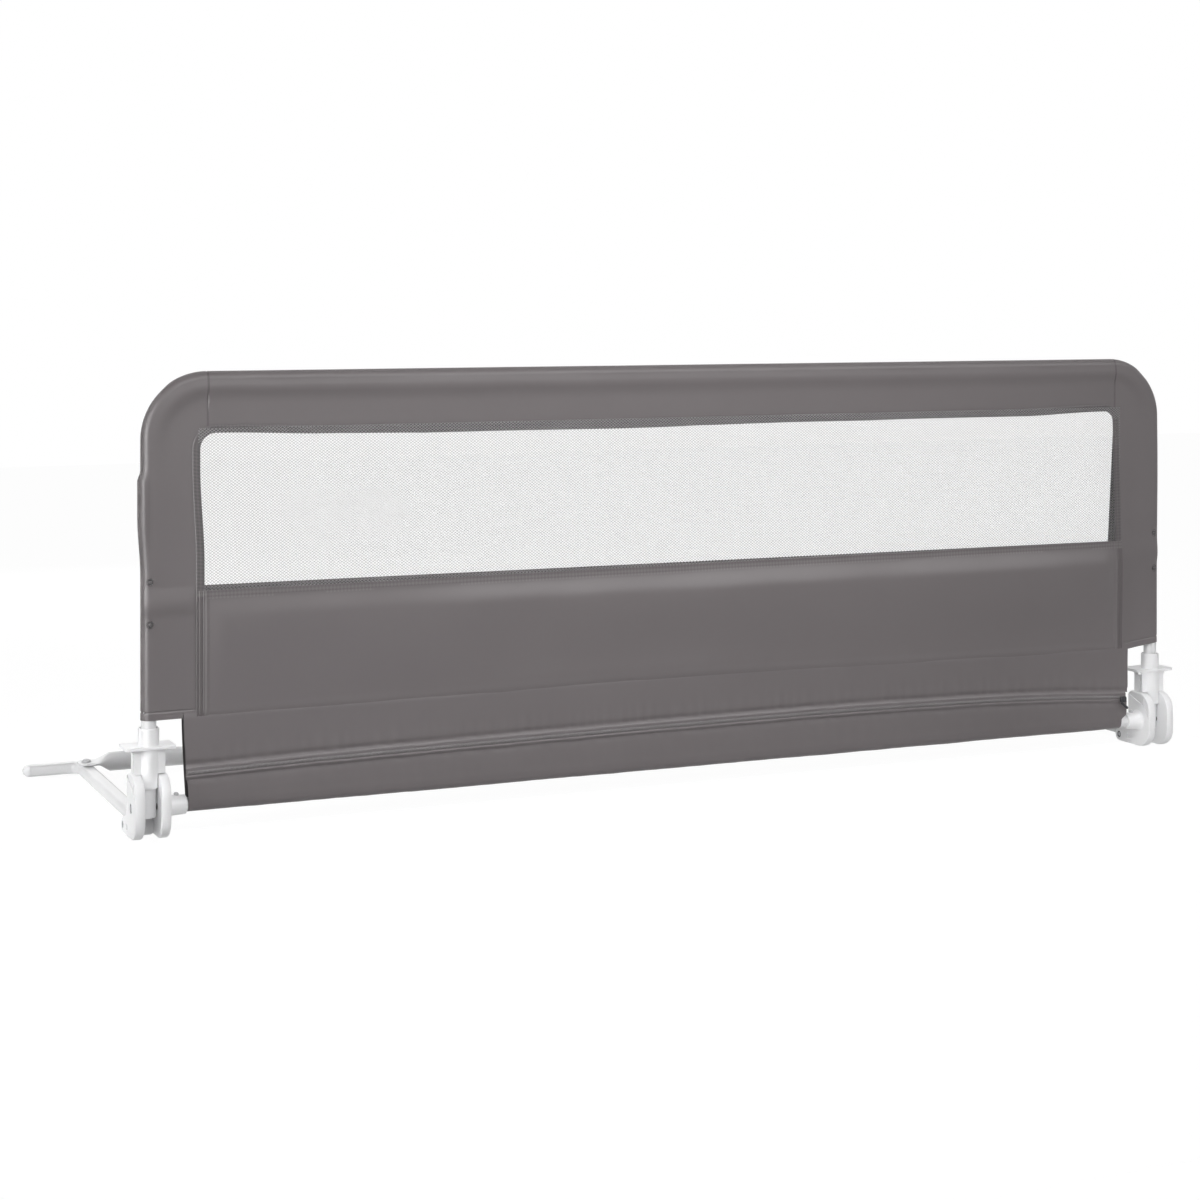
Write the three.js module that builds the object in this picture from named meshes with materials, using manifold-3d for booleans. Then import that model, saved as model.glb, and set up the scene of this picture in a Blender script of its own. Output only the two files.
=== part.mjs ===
// Folding bed guard rail of the 1.5 m class, in millimetres.
// +X runs along the guard, +Z is up, -Y faces the room and +Y goes under the mattress.
// Each end piece is drawn in a local frame: x is 0 on its post's axis and grows towards the guard's middle.
import * as THREE from "three";
import { mergeVertices } from "three/addons/utils/BufferGeometryUtils.js";
import Module from "manifold-3d";

const wasm = await Module();
wasm.setup();

// Whole guard
const postSpacing = 1450;
const coverTopHeight = 554.5;
const pivotHeight = 37;
const seatGap = 0.3;
const cutOverrun = 1;

// Guard tubes
const railDiameter = 18;
const railWall = 1.2;
const railBendRadius = 70;
const postStubLength = 11.5;
const postJointHeight = 280;
const cornerTubeReach = 480;
const joinerWall = 1.2;
const joinerPastButton = 22.75;
const topJoinerLength = 80;
const buttonDiameter = 6;
const buttonProud = 3.2;
const buttonLeafDepth = 3.5;
const buttonLeafLength = 24;
const buttonLeafWidth = 5;
const buttonLeafThickness = 0.8;
const buttonBelowJoint = 25;
const buttonAboveJoint = 25.5;

// Low tube and its buttons
const lowTubeDiameter = 16;
const lowTubeWall = 1.2;
const lowJoinerLength = 100;
const lowButtonInset = 33;
const lowButtonProud = 3;

// Arms, feet and crossbar
const armWidth = 19;
const armHeight = 14.5;
const armWall = 1.4;
const armCornerRadius = 4.5;
const armBottom = 5.5;
const armBendRadius = 18;
const footAxisY = 395;
const footReach = 70;
const footCapLength = 9;
const plugFlange = 2;
const plugDrop = 4.3;
const spigotLength = 12;
const crossbarDiameter = 25;
const crossbarWall = 1.3;
const crossbarY = 368;
const crossbarFlat = 4;
const crossbarFlatWidth = 34;
const crossbarFlatReach = 15;
const crossbarTaper = 16;
const crossbarOverhang = 11;
const crossJoinerLength = 120;
const screwDiameter = 5.8;
const screwHeadDiameter = 13;
const screwHeadHeight = 3;
const screwLength = 9;

// Hinge cheeks, boss, pin and rivet
const cheekGap = 19.3;
const cheekThickness = 12;
const cheekFront = 27;
const cheekBack = 23;
const cheekHeight = 77;
const cheekNoseRadius = 26;
const cheekHeelRadius = 8;
const cheekEdge = 2.2;
const cheekKneeRise = 12;
const cheekKneeRun = 9;
const lobeTurn = 0.4 * Math.PI;
const lobeY = 44;
const lobeRadius = 9.5;
const pocketDepth = 1.6;
const pocketInset = 2.8;
const pocketLineFront = 54;
const pocketLineRise = 34.5;
const pocketShoulderY = 4;
const pocketShoulderHeight = 33;
const pocketShoulderRadius = 30;
const pocketCornerY = 8;
const ribY = 13.5;
const ribWidth = 1.6;
const hollowFrontY = 7;
const hollowBackY = 24;
const hollowHeightFront = 10;
const hollowHeightBack = 15;
const hollowBottom = 7;
const bossReach = 44;
const bossRootDiameter = 25;
const bossEndDiameter = 23;
const bossFlare = 2.2;
const bossFloor = 24.3;
const pinDiameter = 8;
const pinHeadDiameter = 12.4;
const pinHeadThickness = 2.2;
const headSink = 3.2;
const rivetDiameter = 5.8;
const rivetHeadDiameter = 9;
const rivetSocketDiameter = 3.6;

// Release slider, its spring and collar
const sliderDiameter = 25;
const sliderTop = 132;
const sliderSpringSeat = 108;
const sliderSpringWall = 1.2;
const plateWidth = 61;
const plateFront = 13.5;
const plateBack = 25.5;
const plateTop = 110.5;
const plateThickness = 3.5;
const plateCornerRadius = 3;
const legOutside = 18.5;
const legThickness = 3.5;
const legBack = 11.5;
const legFillet = 6;
const webFront = 7;
const webBack = 3;
const grooveFront = 4.5;
const grooveWidth = 3.7;
const grooveDepth = 7.5;
const notchWidth = 11.3;
const notchHeight = 6;
const tongueBottom = 60.5;
const swingGap = 0.7;
const collarThickness = 2.2;
const collarSink = 0.8;
const springWire = 1.1;
const springTurns = 5;

// Fabric cover
const clothThickness = 1.2;
const clothGap = 0.3;
const sleeveBottom = 143;
const topSeamInsetLeft = 68;
const topSeamInsetRight = 44;
const windowInset = 63;
const windowBottom = 289.5;
const backWindowBottom = 294.5;
const flapInsetLeftHigh = 38;
const flapInsetLeftLow = 45.5;
const flapInsetRightHigh = 46;
const flapInsetRightLow = 53;
const eyeletDiameter = 7.4;

// Zipper along the cover
const zipperHeightLeft = 74.6;
const zipperHeightMiddle = 84.5;
const zipperHeightRight = 73;
const zipperTapeWidth = 16;
const zipperTapeThickness = 0.8;
const zipperRidgeOffset = 5.2;
const zipperRidgeWidth = 3;
const zipperRidgeHeight = 2.2;
const zipperSlot = 7;
const pullerWidth = 9;
const pullerHeight = 13;
const pullerThickness = 3;
const pullTabWidth = 6;
const pullTabLength = 22;
const pullTabThickness = 1.6;
const pullerInset = 58;

// Window net
const netThickness = 0.8;
const netStrand = 1.6;
const netHem = 6;
const netBorder = 2;
const netColumns = 13;
const netRows = 4;

// Facets
const tubeSides = 20;
const innerSides = 12;
const smallSides = 10;
const bendSteps = 8;
const armBendSteps = 6;
const arcSteps = 3;
const cornerSteps = 2;
const innerCornerSteps = 1;
const zipperSteps = 12;
const springStepsPerTurn = 8;
const springSides = 5;

// Sizes that follow from the ones above
const postX = postSpacing / 2;
const railRadius = railDiameter / 2;
const coverInner = railRadius + clothGap;
const coverOuter = coverInner + clothThickness;
const railHeight = coverTopHeight - coverOuter;
const windowTop = railHeight - windowInset;
const lowButtonHeight = postJointHeight - buttonBelowJoint;
const highButtonHeight = postJointHeight + buttonAboveJoint;
const lowTubeRadius = lowTubeDiameter / 2;
const flapInner = lowTubeRadius + clothGap;
const flapOuter = flapInner + clothThickness;
const armTop = armBottom + armHeight;
const armMiddle = (armBottom + armTop) / 2;
const tongueRadius = sliderDiameter / 2;
const plugFront = tongueRadius + swingGap;
const armFront = plugFront + plugFlange + seatGap;
const crossbarHeight = armTop + seatGap + crossbarFlat / 2;
const cheekInside = cheekGap / 2;
const cheekOutside = cheekInside + cheekThickness;
const columnBottom = cheekHeight + swingGap;
const plateBottom = plateTop - plateThickness;
const collarTop = sliderTop - collarSink;
const collarBottom = collarTop - collarThickness;
const buttonRadius = buttonDiameter / 2;
const buttonHole = buttonRadius + seatGap;
const footBack = footAxisY + armWidth / 2;
const frameShiftY = (cheekFront - footBack) / 2;

// Materials
function finish(color, roughness, metalness) {
  return () => new THREE.MeshStandardMaterial({ color, roughness, metalness, flatShading: true });
}
const greyPaint = finish(0xc6c7c8, 0.42, 0.1);
const whitePlastic = finish(0xe9e8e6, 0.45, 0);
const zincSteel = finish(0xa4a5a8, 0.35, 0.9);
const darkSteel = finish(0x4a4a4d, 0.4, 0.8);
const springSteel = finish(0x8b8d90, 0.3, 0.9);
const greyCloth = finish(0x726d6e, 0.9, 0);
const netCloth = finish(0xa3a3a4, 0.85, 0);
const zipperCloth = finish(0x7b7678, 0.7, 0);

// Turning a three.js geometry into a solid and back
function toSolid(geometry) {
  const bare = geometry.index ? geometry.toNonIndexed() : geometry.clone();
  for (const name of Object.keys(bare.attributes)) {
    if (name !== "position") bare.deleteAttribute(name);
  }
  const merged = mergeVertices(bare);
  const places = merged.attributes.position.array;
  const corners = merged.index.array;
  const triangles = [];
  let volume = 0;
  const a = new THREE.Vector3();
  const b = new THREE.Vector3();
  const c = new THREE.Vector3();
  for (let i = 0; i < corners.length; i += 3) {
    const [p, q, r] = [corners[i], corners[i + 1], corners[i + 2]];
    if (p === q || q === r || r === p) continue;
    triangles.push(p, q, r);
    a.fromArray(places, 3 * p);
    b.fromArray(places, 3 * q);
    c.fromArray(places, 3 * r);
    volume += a.dot(b.cross(c));
  }
  if (volume < 0) triangles.reverse();
  const vertProperties = Float32Array.from(places);
  const triVerts = Uint32Array.from(triangles);
  return new wasm.Manifold(new wasm.Mesh({ numProp: 3, vertProperties, triVerts }));
}

function toGeometry(solid) {
  const mesh = solid.getMesh();
  const geometry = new THREE.BufferGeometry();
  geometry.setAttribute("position", new THREE.BufferAttribute(Float32Array.from(mesh.vertProperties), 3));
  geometry.setIndex(new THREE.BufferAttribute(Uint32Array.from(mesh.triVerts), 1));
  geometry.computeVertexNormals();
  return geometry;
}

function join(first, ...others) {
  return others.reduce((sum, other) => sum.add(other), first);
}

function cut(first, ...others) {
  return others.reduce((rest, other) => rest.subtract(other), first);
}

// Directions of an extrusion: its outline's x and y, and its depth
const upAxis = new THREE.Matrix4();
const alongX = new THREE.Matrix4().makeBasis(
  new THREE.Vector3(0, 1, 0), new THREE.Vector3(0, 0, 1), new THREE.Vector3(1, 0, 0));
const towardsRoom = new THREE.Matrix4().makeBasis(
  new THREE.Vector3(1, 0, 0), new THREE.Vector3(0, 0, 1), new THREE.Vector3(0, -1, 0));

function extrude(shape, depth, direction, place, segments = arcSteps) {
  const geometry = new THREE.ExtrudeGeometry(shape, { depth, bevelEnabled: false, curveSegments: segments });
  geometry.applyMatrix4(direction);
  geometry.translate(place.x, place.y, place.z);
  return toSolid(geometry);
}

function at(x, y, z) {
  return new THREE.Vector3(x, y, z);
}

// Outlines
function circle(radius) {
  return new THREE.Shape().absarc(0, 0, radius, 0, 2 * Math.PI, false);
}

function ring(outer, inner, insides = innerSides) {
  const shape = circle(outer);
  const grown = inner / Math.cos(Math.PI / insides);
  const hole = [];
  for (let i = 0; i < insides; i += 1) {
    const angle = (-2 * Math.PI * i) / insides;
    hole.push(new THREE.Vector2(grown * Math.cos(angle), grown * Math.sin(angle)));
  }
  shape.holes.push(new THREE.Path(hole));
  return shape;
}

function roundedRectangle(width, height, radius) {
  const x = width / 2 - radius;
  const y = height / 2 - radius;
  const shape = new THREE.Shape();
  shape.absarc(x, y, radius, 0, Math.PI / 2, false);
  shape.absarc(-x, y, radius, Math.PI / 2, Math.PI, false);
  shape.absarc(-x, -y, radius, Math.PI, 1.5 * Math.PI, false);
  shape.absarc(x, -y, radius, 1.5 * Math.PI, 2 * Math.PI, false);
  return shape;
}

// Straight rods and tubes, from their lower end along a direction
function rod(radius, length, direction, place, sides = smallSides) {
  return extrude(circle(radius), length, direction, place, sides / 2);
}

function tube(outer, inner, length, direction, place, sides = tubeSides, insides = innerSides) {
  return extrude(ring(outer, inner, insides), length, direction, place, sides / 2);
}

function box(width, depth, height, middle) {
  const geometry = new THREE.BoxGeometry(width, depth, height);
  geometry.translate(middle.x, middle.y, middle.z);
  return toSolid(geometry);
}

// A body of revolution about its own axis; the profile is a list of radius and height
function turned(profile, direction, place, sides = smallSides) {
  const geometry = new THREE.LatheGeometry(profile.map(([r, h]) => new THREE.Vector2(r, h)), sides);
  geometry.rotateX(Math.PI / 2);
  geometry.applyMatrix4(direction);
  geometry.translate(place.x, place.y, place.z);
  return toSolid(geometry);
}

// A path with a station at each given point, so that bends get the steps and straights get one
class StationPath extends THREE.Curve {
  constructor(stations) {
    super();
    this.stations = stations;
  }

  getPoint(t, target = new THREE.Vector3()) {
    const place = t * (this.stations.length - 1);
    const first = Math.min(Math.floor(place), this.stations.length - 2);
    return target.lerpVectors(this.stations[first], this.stations[first + 1], place - first);
  }

  getUtoTmapping(u) {
    return u;
  }
}

function sweep(shape, stations, segments = arcSteps) {
  const path = new StationPath(stations);
  const steps = stations.length - 1;
  return toSolid(new THREE.ExtrudeGeometry(shape, { steps, extrudePath: path, curveSegments: segments }));
}

// Points of an arc in the plane of two directions, both ends included
function arcStations(centre, radius, from, to, start, end, steps) {
  const points = [];
  for (let i = 0; i <= steps; i += 1) {
    const angle = start + ((end - start) * i) / steps;
    const point = centre.clone();
    point.addScaledVector(from, radius * Math.cos(angle));
    point.addScaledVector(to, radius * Math.sin(angle));
    points.push(point);
  }
  return points;
}

// A closed body through rings of equally many points
function loft(rings) {
  const count = rings[0].length;
  const points = rings.flat();
  const corners = [];
  for (let r = 0; r < rings.length - 1; r += 1) {
    for (let i = 0; i < count; i += 1) {
      const a = r * count + i;
      const b = r * count + ((i + 1) % count);
      corners.push(a, b, b + count, a, b + count, a + count);
    }
  }
  const last = (rings.length - 1) * count;
  for (let i = 1; i < count - 1; i += 1) {
    corners.push(0, i + 1, i);
    corners.push(last, last + i, last + i + 1);
  }
  const geometry = new THREE.BufferGeometry().setFromPoints(points);
  geometry.setIndex(corners);
  return toSolid(geometry);
}

// The model, with its origin on the ground at the middle of the whole object
const model = new THREE.Group();
model.position.y = frameShiftY;

function addMesh(name, solid, material) {
  const mesh = new THREE.Mesh(toGeometry(solid), material());
  mesh.name = name;
  model.add(mesh);
}

// Places a solid of a local end frame at the left or the right post; the right one is its mirror image
function addAtPost(name, solid, material, side) {
  const geometry = toGeometry(solid);
  const inwards = -side;
  geometry.applyMatrix4(new THREE.Matrix4().makeScale(inwards, 1, 1));
  geometry.translate(side * postX, 0, 0);
  addMesh(name, toSolid(geometry), material);
}

const ends = [{ label: "left", side: -1 }, { label: "right", side: 1 }];

function addAtBothPosts(name, solid, material) {
  for (const { label, side } of ends) addAtPost(`${name}_${label}`, solid, material, side);
}

// Arms, their plugs and caps
function armSection(inset) {
  const radius = armCornerRadius - inset;
  return roundedRectangle(armHeight - 2 * inset, armWidth - 2 * inset, radius);
}

function makeArm() {
  const section = armSection(0);
  section.holes.push(new THREE.Path(armSection(armWall).getPoints(innerCornerSteps).reverse()));
  const bendCentre = at(-armBendRadius, footAxisY - armBendRadius, armMiddle);
  const bend = arcStations(bendCentre, armBendRadius, at(1, 0, 0), at(0, 1, 0), 0, Math.PI / 2, armBendSteps);
  const stations = [at(0, armFront, armMiddle), ...bend, at(-footReach, footAxisY, armMiddle)];
  const rivetHole = rod(rivetDiameter / 2 + seatGap, armWidth + 2 * cutOverrun, alongX,
    at(-armWidth / 2 - cutOverrun, lobeY, lobeRadius));
  const screwHole = rod(screwDiameter / 2 + seatGap, armHeight / 2 + cutOverrun, upAxis,
    at(0, crossbarY, armMiddle));
  return cut(sweep(section, stations, cornerSteps), rivetHole, screwHole);
}

function spigotSection() {
  return armSection(armWall + seatGap);
}

function makeArmPlug() {
  const flangeBottom = armBottom - plugDrop;
  const flangeHeight = armTop - flangeBottom;
  const flangeWidth = armWidth - 2 * seatGap;
  const outline = roundedRectangle(flangeWidth, flangeHeight, armCornerRadius);
  const flange = extrude(outline, plugFlange, towardsRoom,
    at(0, plugFront + plugFlange, (armTop + flangeBottom) / 2), cornerSteps);
  const spigot = sweep(spigotSection(), [at(0, plugFront + plugFlange / 2, armMiddle),
    at(0, armFront + spigotLength, armMiddle)], innerCornerSteps);
  return join(flange, spigot);
}

function makeFootCap() {
  const capStart = footReach + seatGap;
  const rings = [];
  const steps = bendSteps / 2;
  for (let i = 0; i <= steps; i += 1) {
    const angle = (i / (steps + 1)) * (Math.PI / 2);
    const outline = armSection(0).getPoints(cornerSteps);
    const shrink = Math.cos(angle);
    const reach = capStart + footCapLength * Math.sin(angle);
    rings.push(outline.map((p) => at(-reach, footAxisY + p.y * shrink, armMiddle + p.x * shrink)));
  }
  const spigot = sweep(spigotSection(), [at(-capStart - footCapLength / 2, footAxisY, armMiddle),
    at(-footReach + spigotLength, footAxisY, armMiddle)], innerCornerSteps);
  return join(loft(rings), spigot);
}

// Crossbar halves: round tube drawn down to a flat tongue that lies on the arm
function flatRing(x, width, thickness, roundness) {
  const points = [];
  for (let i = 0; i < tubeSides; i += 1) {
    const angle = (2 * Math.PI * i) / tubeSides;
    const c = Math.cos(angle);
    const s = Math.sin(angle);
    const y = (Math.sign(c) * Math.abs(c) ** roundness * width) / 2;
    const z = (Math.sign(s) * Math.abs(s) ** roundness * thickness) / 2;
    points.push(at(x, crossbarY + y, crossbarHeight + z));
  }
  return points;
}

function makeCrossbar() {
  const taperEnd = crossbarFlatReach + crossbarTaper;
  const flatRoundness = 0.4;
  const tipShares = [[0, 0.5], [0.25, 0.82], [1, 1]];
  const taperShares = [[0.3, 0.28, 0.55], [0.65, 0.68, 0.8], [1, 1, 1]];
  const rings = [];
  for (const [lengthShare, widthShare] of tipShares) {
    rings.push(flatRing(-crossbarOverhang * (1 - lengthShare), crossbarFlatWidth * widthShare,
      crossbarFlat, flatRoundness));
  }
  rings.push(flatRing(crossbarFlatReach, crossbarFlatWidth, crossbarFlat, flatRoundness));
  for (const [lengthShare, roundShare, roundness] of taperShares) {
    rings.push(flatRing(crossbarFlatReach + crossbarTaper * lengthShare,
      THREE.MathUtils.lerp(crossbarFlatWidth, crossbarDiameter, roundShare),
      THREE.MathUtils.lerp(crossbarFlat, crossbarDiameter, roundShare), roundness));
  }
  const middle = postX - seatGap / 2;
  rings.push(flatRing(middle, crossbarDiameter, crossbarDiameter, 1));
  const bore = rod(crossbarDiameter / 2 - crossbarWall, middle - taperEnd + cutOverrun, alongX,
    at(taperEnd, crossbarY, crossbarHeight), tubeSides);
  const hole = rod(screwDiameter / 2 + seatGap, crossbarFlat + 2 * cutOverrun, upAxis,
    at(0, crossbarY, crossbarHeight - crossbarFlat / 2 - cutOverrun));
  return cut(loft(rings), bore, hole);
}

function makeCrossbarScrew() {
  const head = crossbarHeight + crossbarFlat / 2 + seatGap;
  const radius = screwHeadDiameter / 2;
  const rimShare = 0.35;
  const crownShare = 0.55;
  const profile = [[0, -screwLength], [screwDiameter / 2, -screwLength], [screwDiameter / 2, 0], [radius, 0],
    [radius, screwHeadHeight * rimShare], [radius * crownShare, screwHeadHeight], [0, screwHeadHeight]];
  return turned(profile, upAxis, at(0, crossbarY, head), tubeSides);
}

// Hinge cheeks
function cheekOutline(inset) {
  const nose = cheekNoseRadius - cheekFront;
  const back = cheekBack - inset;
  const heel = cheekBack - cheekHeelRadius;
  const lobeEnd = at(lobeY + (lobeRadius - inset) * Math.cos(lobeTurn),
    lobeRadius + (lobeRadius - inset) * Math.sin(lobeTurn), 0);
  const fall = Math.cos(lobeTurn) / Math.sin(lobeTurn);
  const knee = lobeEnd.y + (lobeEnd.x - back) * fall;
  const shape = new THREE.Shape();
  shape.moveTo(nose, inset);
  shape.lineTo(lobeY, inset);
  shape.absarc(lobeY, lobeRadius, lobeRadius - inset, -Math.PI / 2, lobeTurn, false);
  shape.lineTo(back + cheekKneeRun, knee - cheekKneeRun * fall);
  shape.quadraticCurveTo(back, knee, back, knee + cheekKneeRise);
  shape.lineTo(back, cheekHeight - cheekHeelRadius);
  shape.absarc(heel, cheekHeight - cheekHeelRadius, cheekHeelRadius - inset, 0, Math.PI / 2, false);
  shape.lineTo(nose, cheekHeight - inset);
  shape.absarc(nose, cheekHeight - cheekNoseRadius, cheekNoseRadius - inset, Math.PI / 2, Math.PI, false);
  shape.lineTo(inset - cheekFront, cheekNoseRadius);
  shape.absarc(nose, cheekNoseRadius, cheekNoseRadius - inset, Math.PI, 1.5 * Math.PI, false);
  return shape;
}

function cheekBody() {
  const depth = cheekThickness - 2 * cheekEdge;
  const geometry = new THREE.ExtrudeGeometry(cheekOutline(0), { depth, bevelEnabled: true, bevelSegments: 2,
    bevelThickness: cheekEdge, bevelSize: cheekEdge, bevelOffset: -cheekEdge, curveSegments: arcSteps });
  geometry.applyMatrix4(alongX);
  geometry.translate(cheekInside + cheekEdge, 0, 0);
  return toSolid(geometry);
}

// The cheek's outer face is sunk above a slanted line and before a round shoulder, but for one rib
function cheekPocket() {
  const depth = pocketDepth + cutOverrun;
  const bottom = cheekOutside - pocketDepth;
  const field = extrude(cheekOutline(pocketInset), depth, alongX, at(bottom, 0, 0));
  const below = new THREE.Shape([
    new THREE.Vector2(-cheekFront, 0),
    new THREE.Vector2(cheekBack + lobeY, 0),
    new THREE.Vector2(cheekBack + lobeY, pocketLineFront + pocketLineRise),
    new THREE.Vector2(-cheekFront, pocketLineFront),
  ]);
  const shoulder = rod(pocketShoulderRadius, depth, alongX, at(bottom, pocketShoulderY, pocketShoulderHeight),
    tubeSides);
  const face = bottom + depth / 2;
  const behind = box(depth, cheekBack + lobeY, cheekHeight,
    at(face, (cheekBack + lobeY) / 2 - pocketCornerY, cheekHeight / 2));
  const lower = box(depth, 2 * cheekFront, pocketShoulderHeight, at(face, 0, pocketShoulderHeight / 2));
  const kept = extrude(below, depth, alongX, at(bottom, 0, 0)).intersect(join(shoulder, behind, lower));
  const rib = box(depth, ribWidth, cheekHeight, at(face, -ribY, cheekHeight / 2));
  const hollow = new THREE.Shape([
    new THREE.Vector2(hollowBackY, hollowBottom),
    new THREE.Vector2(hollowBackY, hollowHeightBack),
    new THREE.Vector2(hollowFrontY, hollowHeightFront),
  ]);
  return join(cut(field, kept, rib), extrude(hollow, depth, alongX, at(bottom, 0, 0)));
}

// Both cheeks are drawn with their outer face at the high end of x
function cheekHoles(pinSink) {
  const length = cheekThickness + 2 * cutOverrun;
  const start = cheekInside - cutOverrun;
  const holes = [
    rod(pinDiameter / 2 + seatGap, length, alongX, at(start, 0, pivotHeight)),
    rod(rivetDiameter / 2 + seatGap, length, alongX, at(start, lobeY, lobeRadius)),
    rod(rivetHeadDiameter / 2 + seatGap, headSink + cutOverrun, alongX,
      at(cheekOutside - headSink, lobeY, lobeRadius)),
  ];
  if (pinSink) {
    holes.push(rod(pinHeadDiameter / 2 + seatGap, headSink + cutOverrun, alongX,
      at(cheekOutside - headSink, 0, pivotHeight), tubeSides));
  }
  return holes;
}

function makeOuterCheek() {
  const geometry = toGeometry(cut(cheekBody(), cheekPocket(), ...cheekHoles(true)));
  geometry.applyMatrix4(new THREE.Matrix4().makeScale(-1, 1, 1));
  return toSolid(geometry);
}

function makeInnerCheek() {
  const root = bossRootDiameter / 2;
  const end = bossEndDiameter / 2;
  const sink = cheekThickness / 2;
  const reach = bossReach - cheekOutside + sink;
  const profile = [[0, 0], [root + bossFlare, 0], [root + bossFlare, sink], [root, sink + bossFlare],
    [end, reach - seatGap], [end - seatGap, reach], [0, reach]];
  const boss = turned(profile, alongX, at(bossReach - reach, 0, pivotHeight), tubeSides);
  const bore = rod(lowTubeRadius + seatGap, bossReach - bossFloor + cutOverrun, alongX,
    at(bossFloor, 0, pivotHeight), tubeSides);
  const pinHole = rod(pinDiameter / 2 + seatGap, bossReach, alongX, at(0, 0, pivotHeight));
  const buttonWindow = rod(buttonHole, bossRootDiameter, upAxis, at(lowButtonInset, 0, pivotHeight));
  const solid = join(cut(cheekBody(), cheekPocket()), boss);
  return cut(solid, ...cheekHoles(false), bore, pinHole, buttonWindow);
}

// Headed pin through both cheeks and the post, its inner end spread inside the boss
function makePivotPin() {
  const head = pinHeadDiameter / 2;
  const shaft = pinDiameter / 2;
  const spread = shaft + headSink / 2;
  const headStart = -cheekOutside + headSink - seatGap - pinHeadThickness;
  const spreadStart = bossFloor + seatGap - headStart;
  const spreadEnd = spreadStart + pinHeadThickness / 2;
  const profile = [[0, 0], [head, 0], [head, pinHeadThickness], [shaft, pinHeadThickness],
    [shaft, spreadStart], [spread, spreadStart], [spread, spreadEnd], [0, spreadEnd]];
  return turned(profile, alongX, at(headStart, 0, pivotHeight), tubeSides);
}

// Rivet through the lobes and the arm, with a sunk socket in each head
function makeArmRivet() {
  const head = rivetHeadDiameter / 2;
  const shaft = rivetDiameter / 2;
  const thickness = pinHeadThickness;
  const start = -cheekOutside + headSink - seatGap - thickness;
  const length = -2 * start;
  const profile = [[0, 0], [head, 0], [head, thickness], [shaft, thickness], [shaft, length - thickness],
    [head, length - thickness], [head, length], [0, length]];
  const socketDepth = thickness / 2;
  const socket = rivetSocketDiameter / 2;
  return cut(turned(profile, alongX, at(start, lobeY, lobeRadius)),
    rod(socket, socketDepth + cutOverrun, alongX, at(start - cutOverrun, lobeY, lobeRadius)),
    rod(socket, socketDepth + cutOverrun, alongX, at(-start - socketDepth, lobeY, lobeRadius)));
}

// Low tube inside the cover's bottom loop, and the buttons that lock it in the bosses
const lowTubeStart = bossFloor + 2 * seatGap + pinHeadThickness / 2 + seatGap;

function makeLowTube() {
  const inner = lowTubeRadius - lowTubeWall;
  const length = postX - seatGap / 2 - lowTubeStart;
  const body = tube(lowTubeRadius, inner, length, alongX, at(lowTubeStart, 0, pivotHeight));
  return cut(body, rod(buttonHole, lowTubeDiameter, upAxis, at(lowButtonInset, 0, pivotHeight)));
}

// A domed button on a spring leaf; it points along +z and its leaf lies at height 0
function makeButton(reach, leafStart) {
  const radius = buttonRadius;
  const domeShare = 0.6;
  const dome = radius / 2;
  const profile = [[0, 0], [radius, 0], [radius, reach - dome],
    [radius * domeShare, reach - dome / 4], [0, reach]];
  const stem = turned(profile, upAxis, at(0, 0, 0));
  const leaf = box(buttonLeafLength, buttonLeafWidth, buttonLeafThickness,
    at(leafStart + buttonLeafLength / 2, 0, buttonLeafThickness / 2));
  return join(stem, leaf);
}

function makeLowButton() {
  const seat = lowTubeRadius - lowTubeWall - buttonLeafDepth;
  const reach = bossRootDiameter / 2 + lowButtonProud - seat;
  const geometry = toGeometry(makeButton(reach, -buttonRadius));
  geometry.translate(lowButtonInset, 0, pivotHeight + seat);
  return toSolid(geometry);
}

// Guard tubes
const joinerOuter = railRadius - railWall - seatGap;
const joinerInner = joinerOuter - joinerWall;

function buttonCut(height) {
  return rod(buttonHole, railDiameter, towardsRoom, at(0, 0, height));
}

function makePost() {
  const bottom = pivotHeight - postStubLength;
  const length = postJointHeight - seatGap / 2 - bottom;
  const body = tube(railRadius, railRadius - railWall, length, upAxis, at(0, 0, bottom));
  const pinHole = rod(pinDiameter / 2 + seatGap, railDiameter + 2 * cutOverrun, alongX,
    at(-railRadius - cutOverrun, 0, pivotHeight));
  return cut(body, pinHole, buttonCut(lowButtonHeight));
}

function cornerStations(bottom, reach) {
  const centre = at(railBendRadius, 0, railHeight - railBendRadius);
  const bend = arcStations(centre, railBendRadius, at(-1, 0, 0), at(0, 0, 1), 0, Math.PI / 2, bendSteps);
  const stations = [at(0, 0, bottom), ...bend];
  if (reach > railBendRadius) stations.push(at(reach, 0, railHeight));
  return stations;
}

function makeCornerTube() {
  const body = sweep(ring(railRadius, railRadius - railWall),
    cornerStations(postJointHeight + seatGap / 2, cornerTubeReach), tubeSides / 2);
  return cut(body, buttonCut(highButtonHeight));
}

function makePostJoiner() {
  const bottom = lowButtonHeight - joinerPastButton;
  const length = highButtonHeight + joinerPastButton - bottom;
  const body = tube(joinerOuter, joinerInner, length, upAxis, at(0, 0, bottom));
  return cut(body, buttonCut(lowButtonHeight), buttonCut(highButtonHeight));
}

function makePostButton(height) {
  const seat = joinerInner - buttonLeafDepth;
  const geometry = toGeometry(makeButton(railRadius + buttonProud - seat, -buttonLeafLength / 2));
  geometry.rotateY(Math.PI / 2);
  geometry.rotateZ(-Math.PI / 2);
  geometry.translate(0, -seat, height);
  return toSolid(geometry);
}

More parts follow.
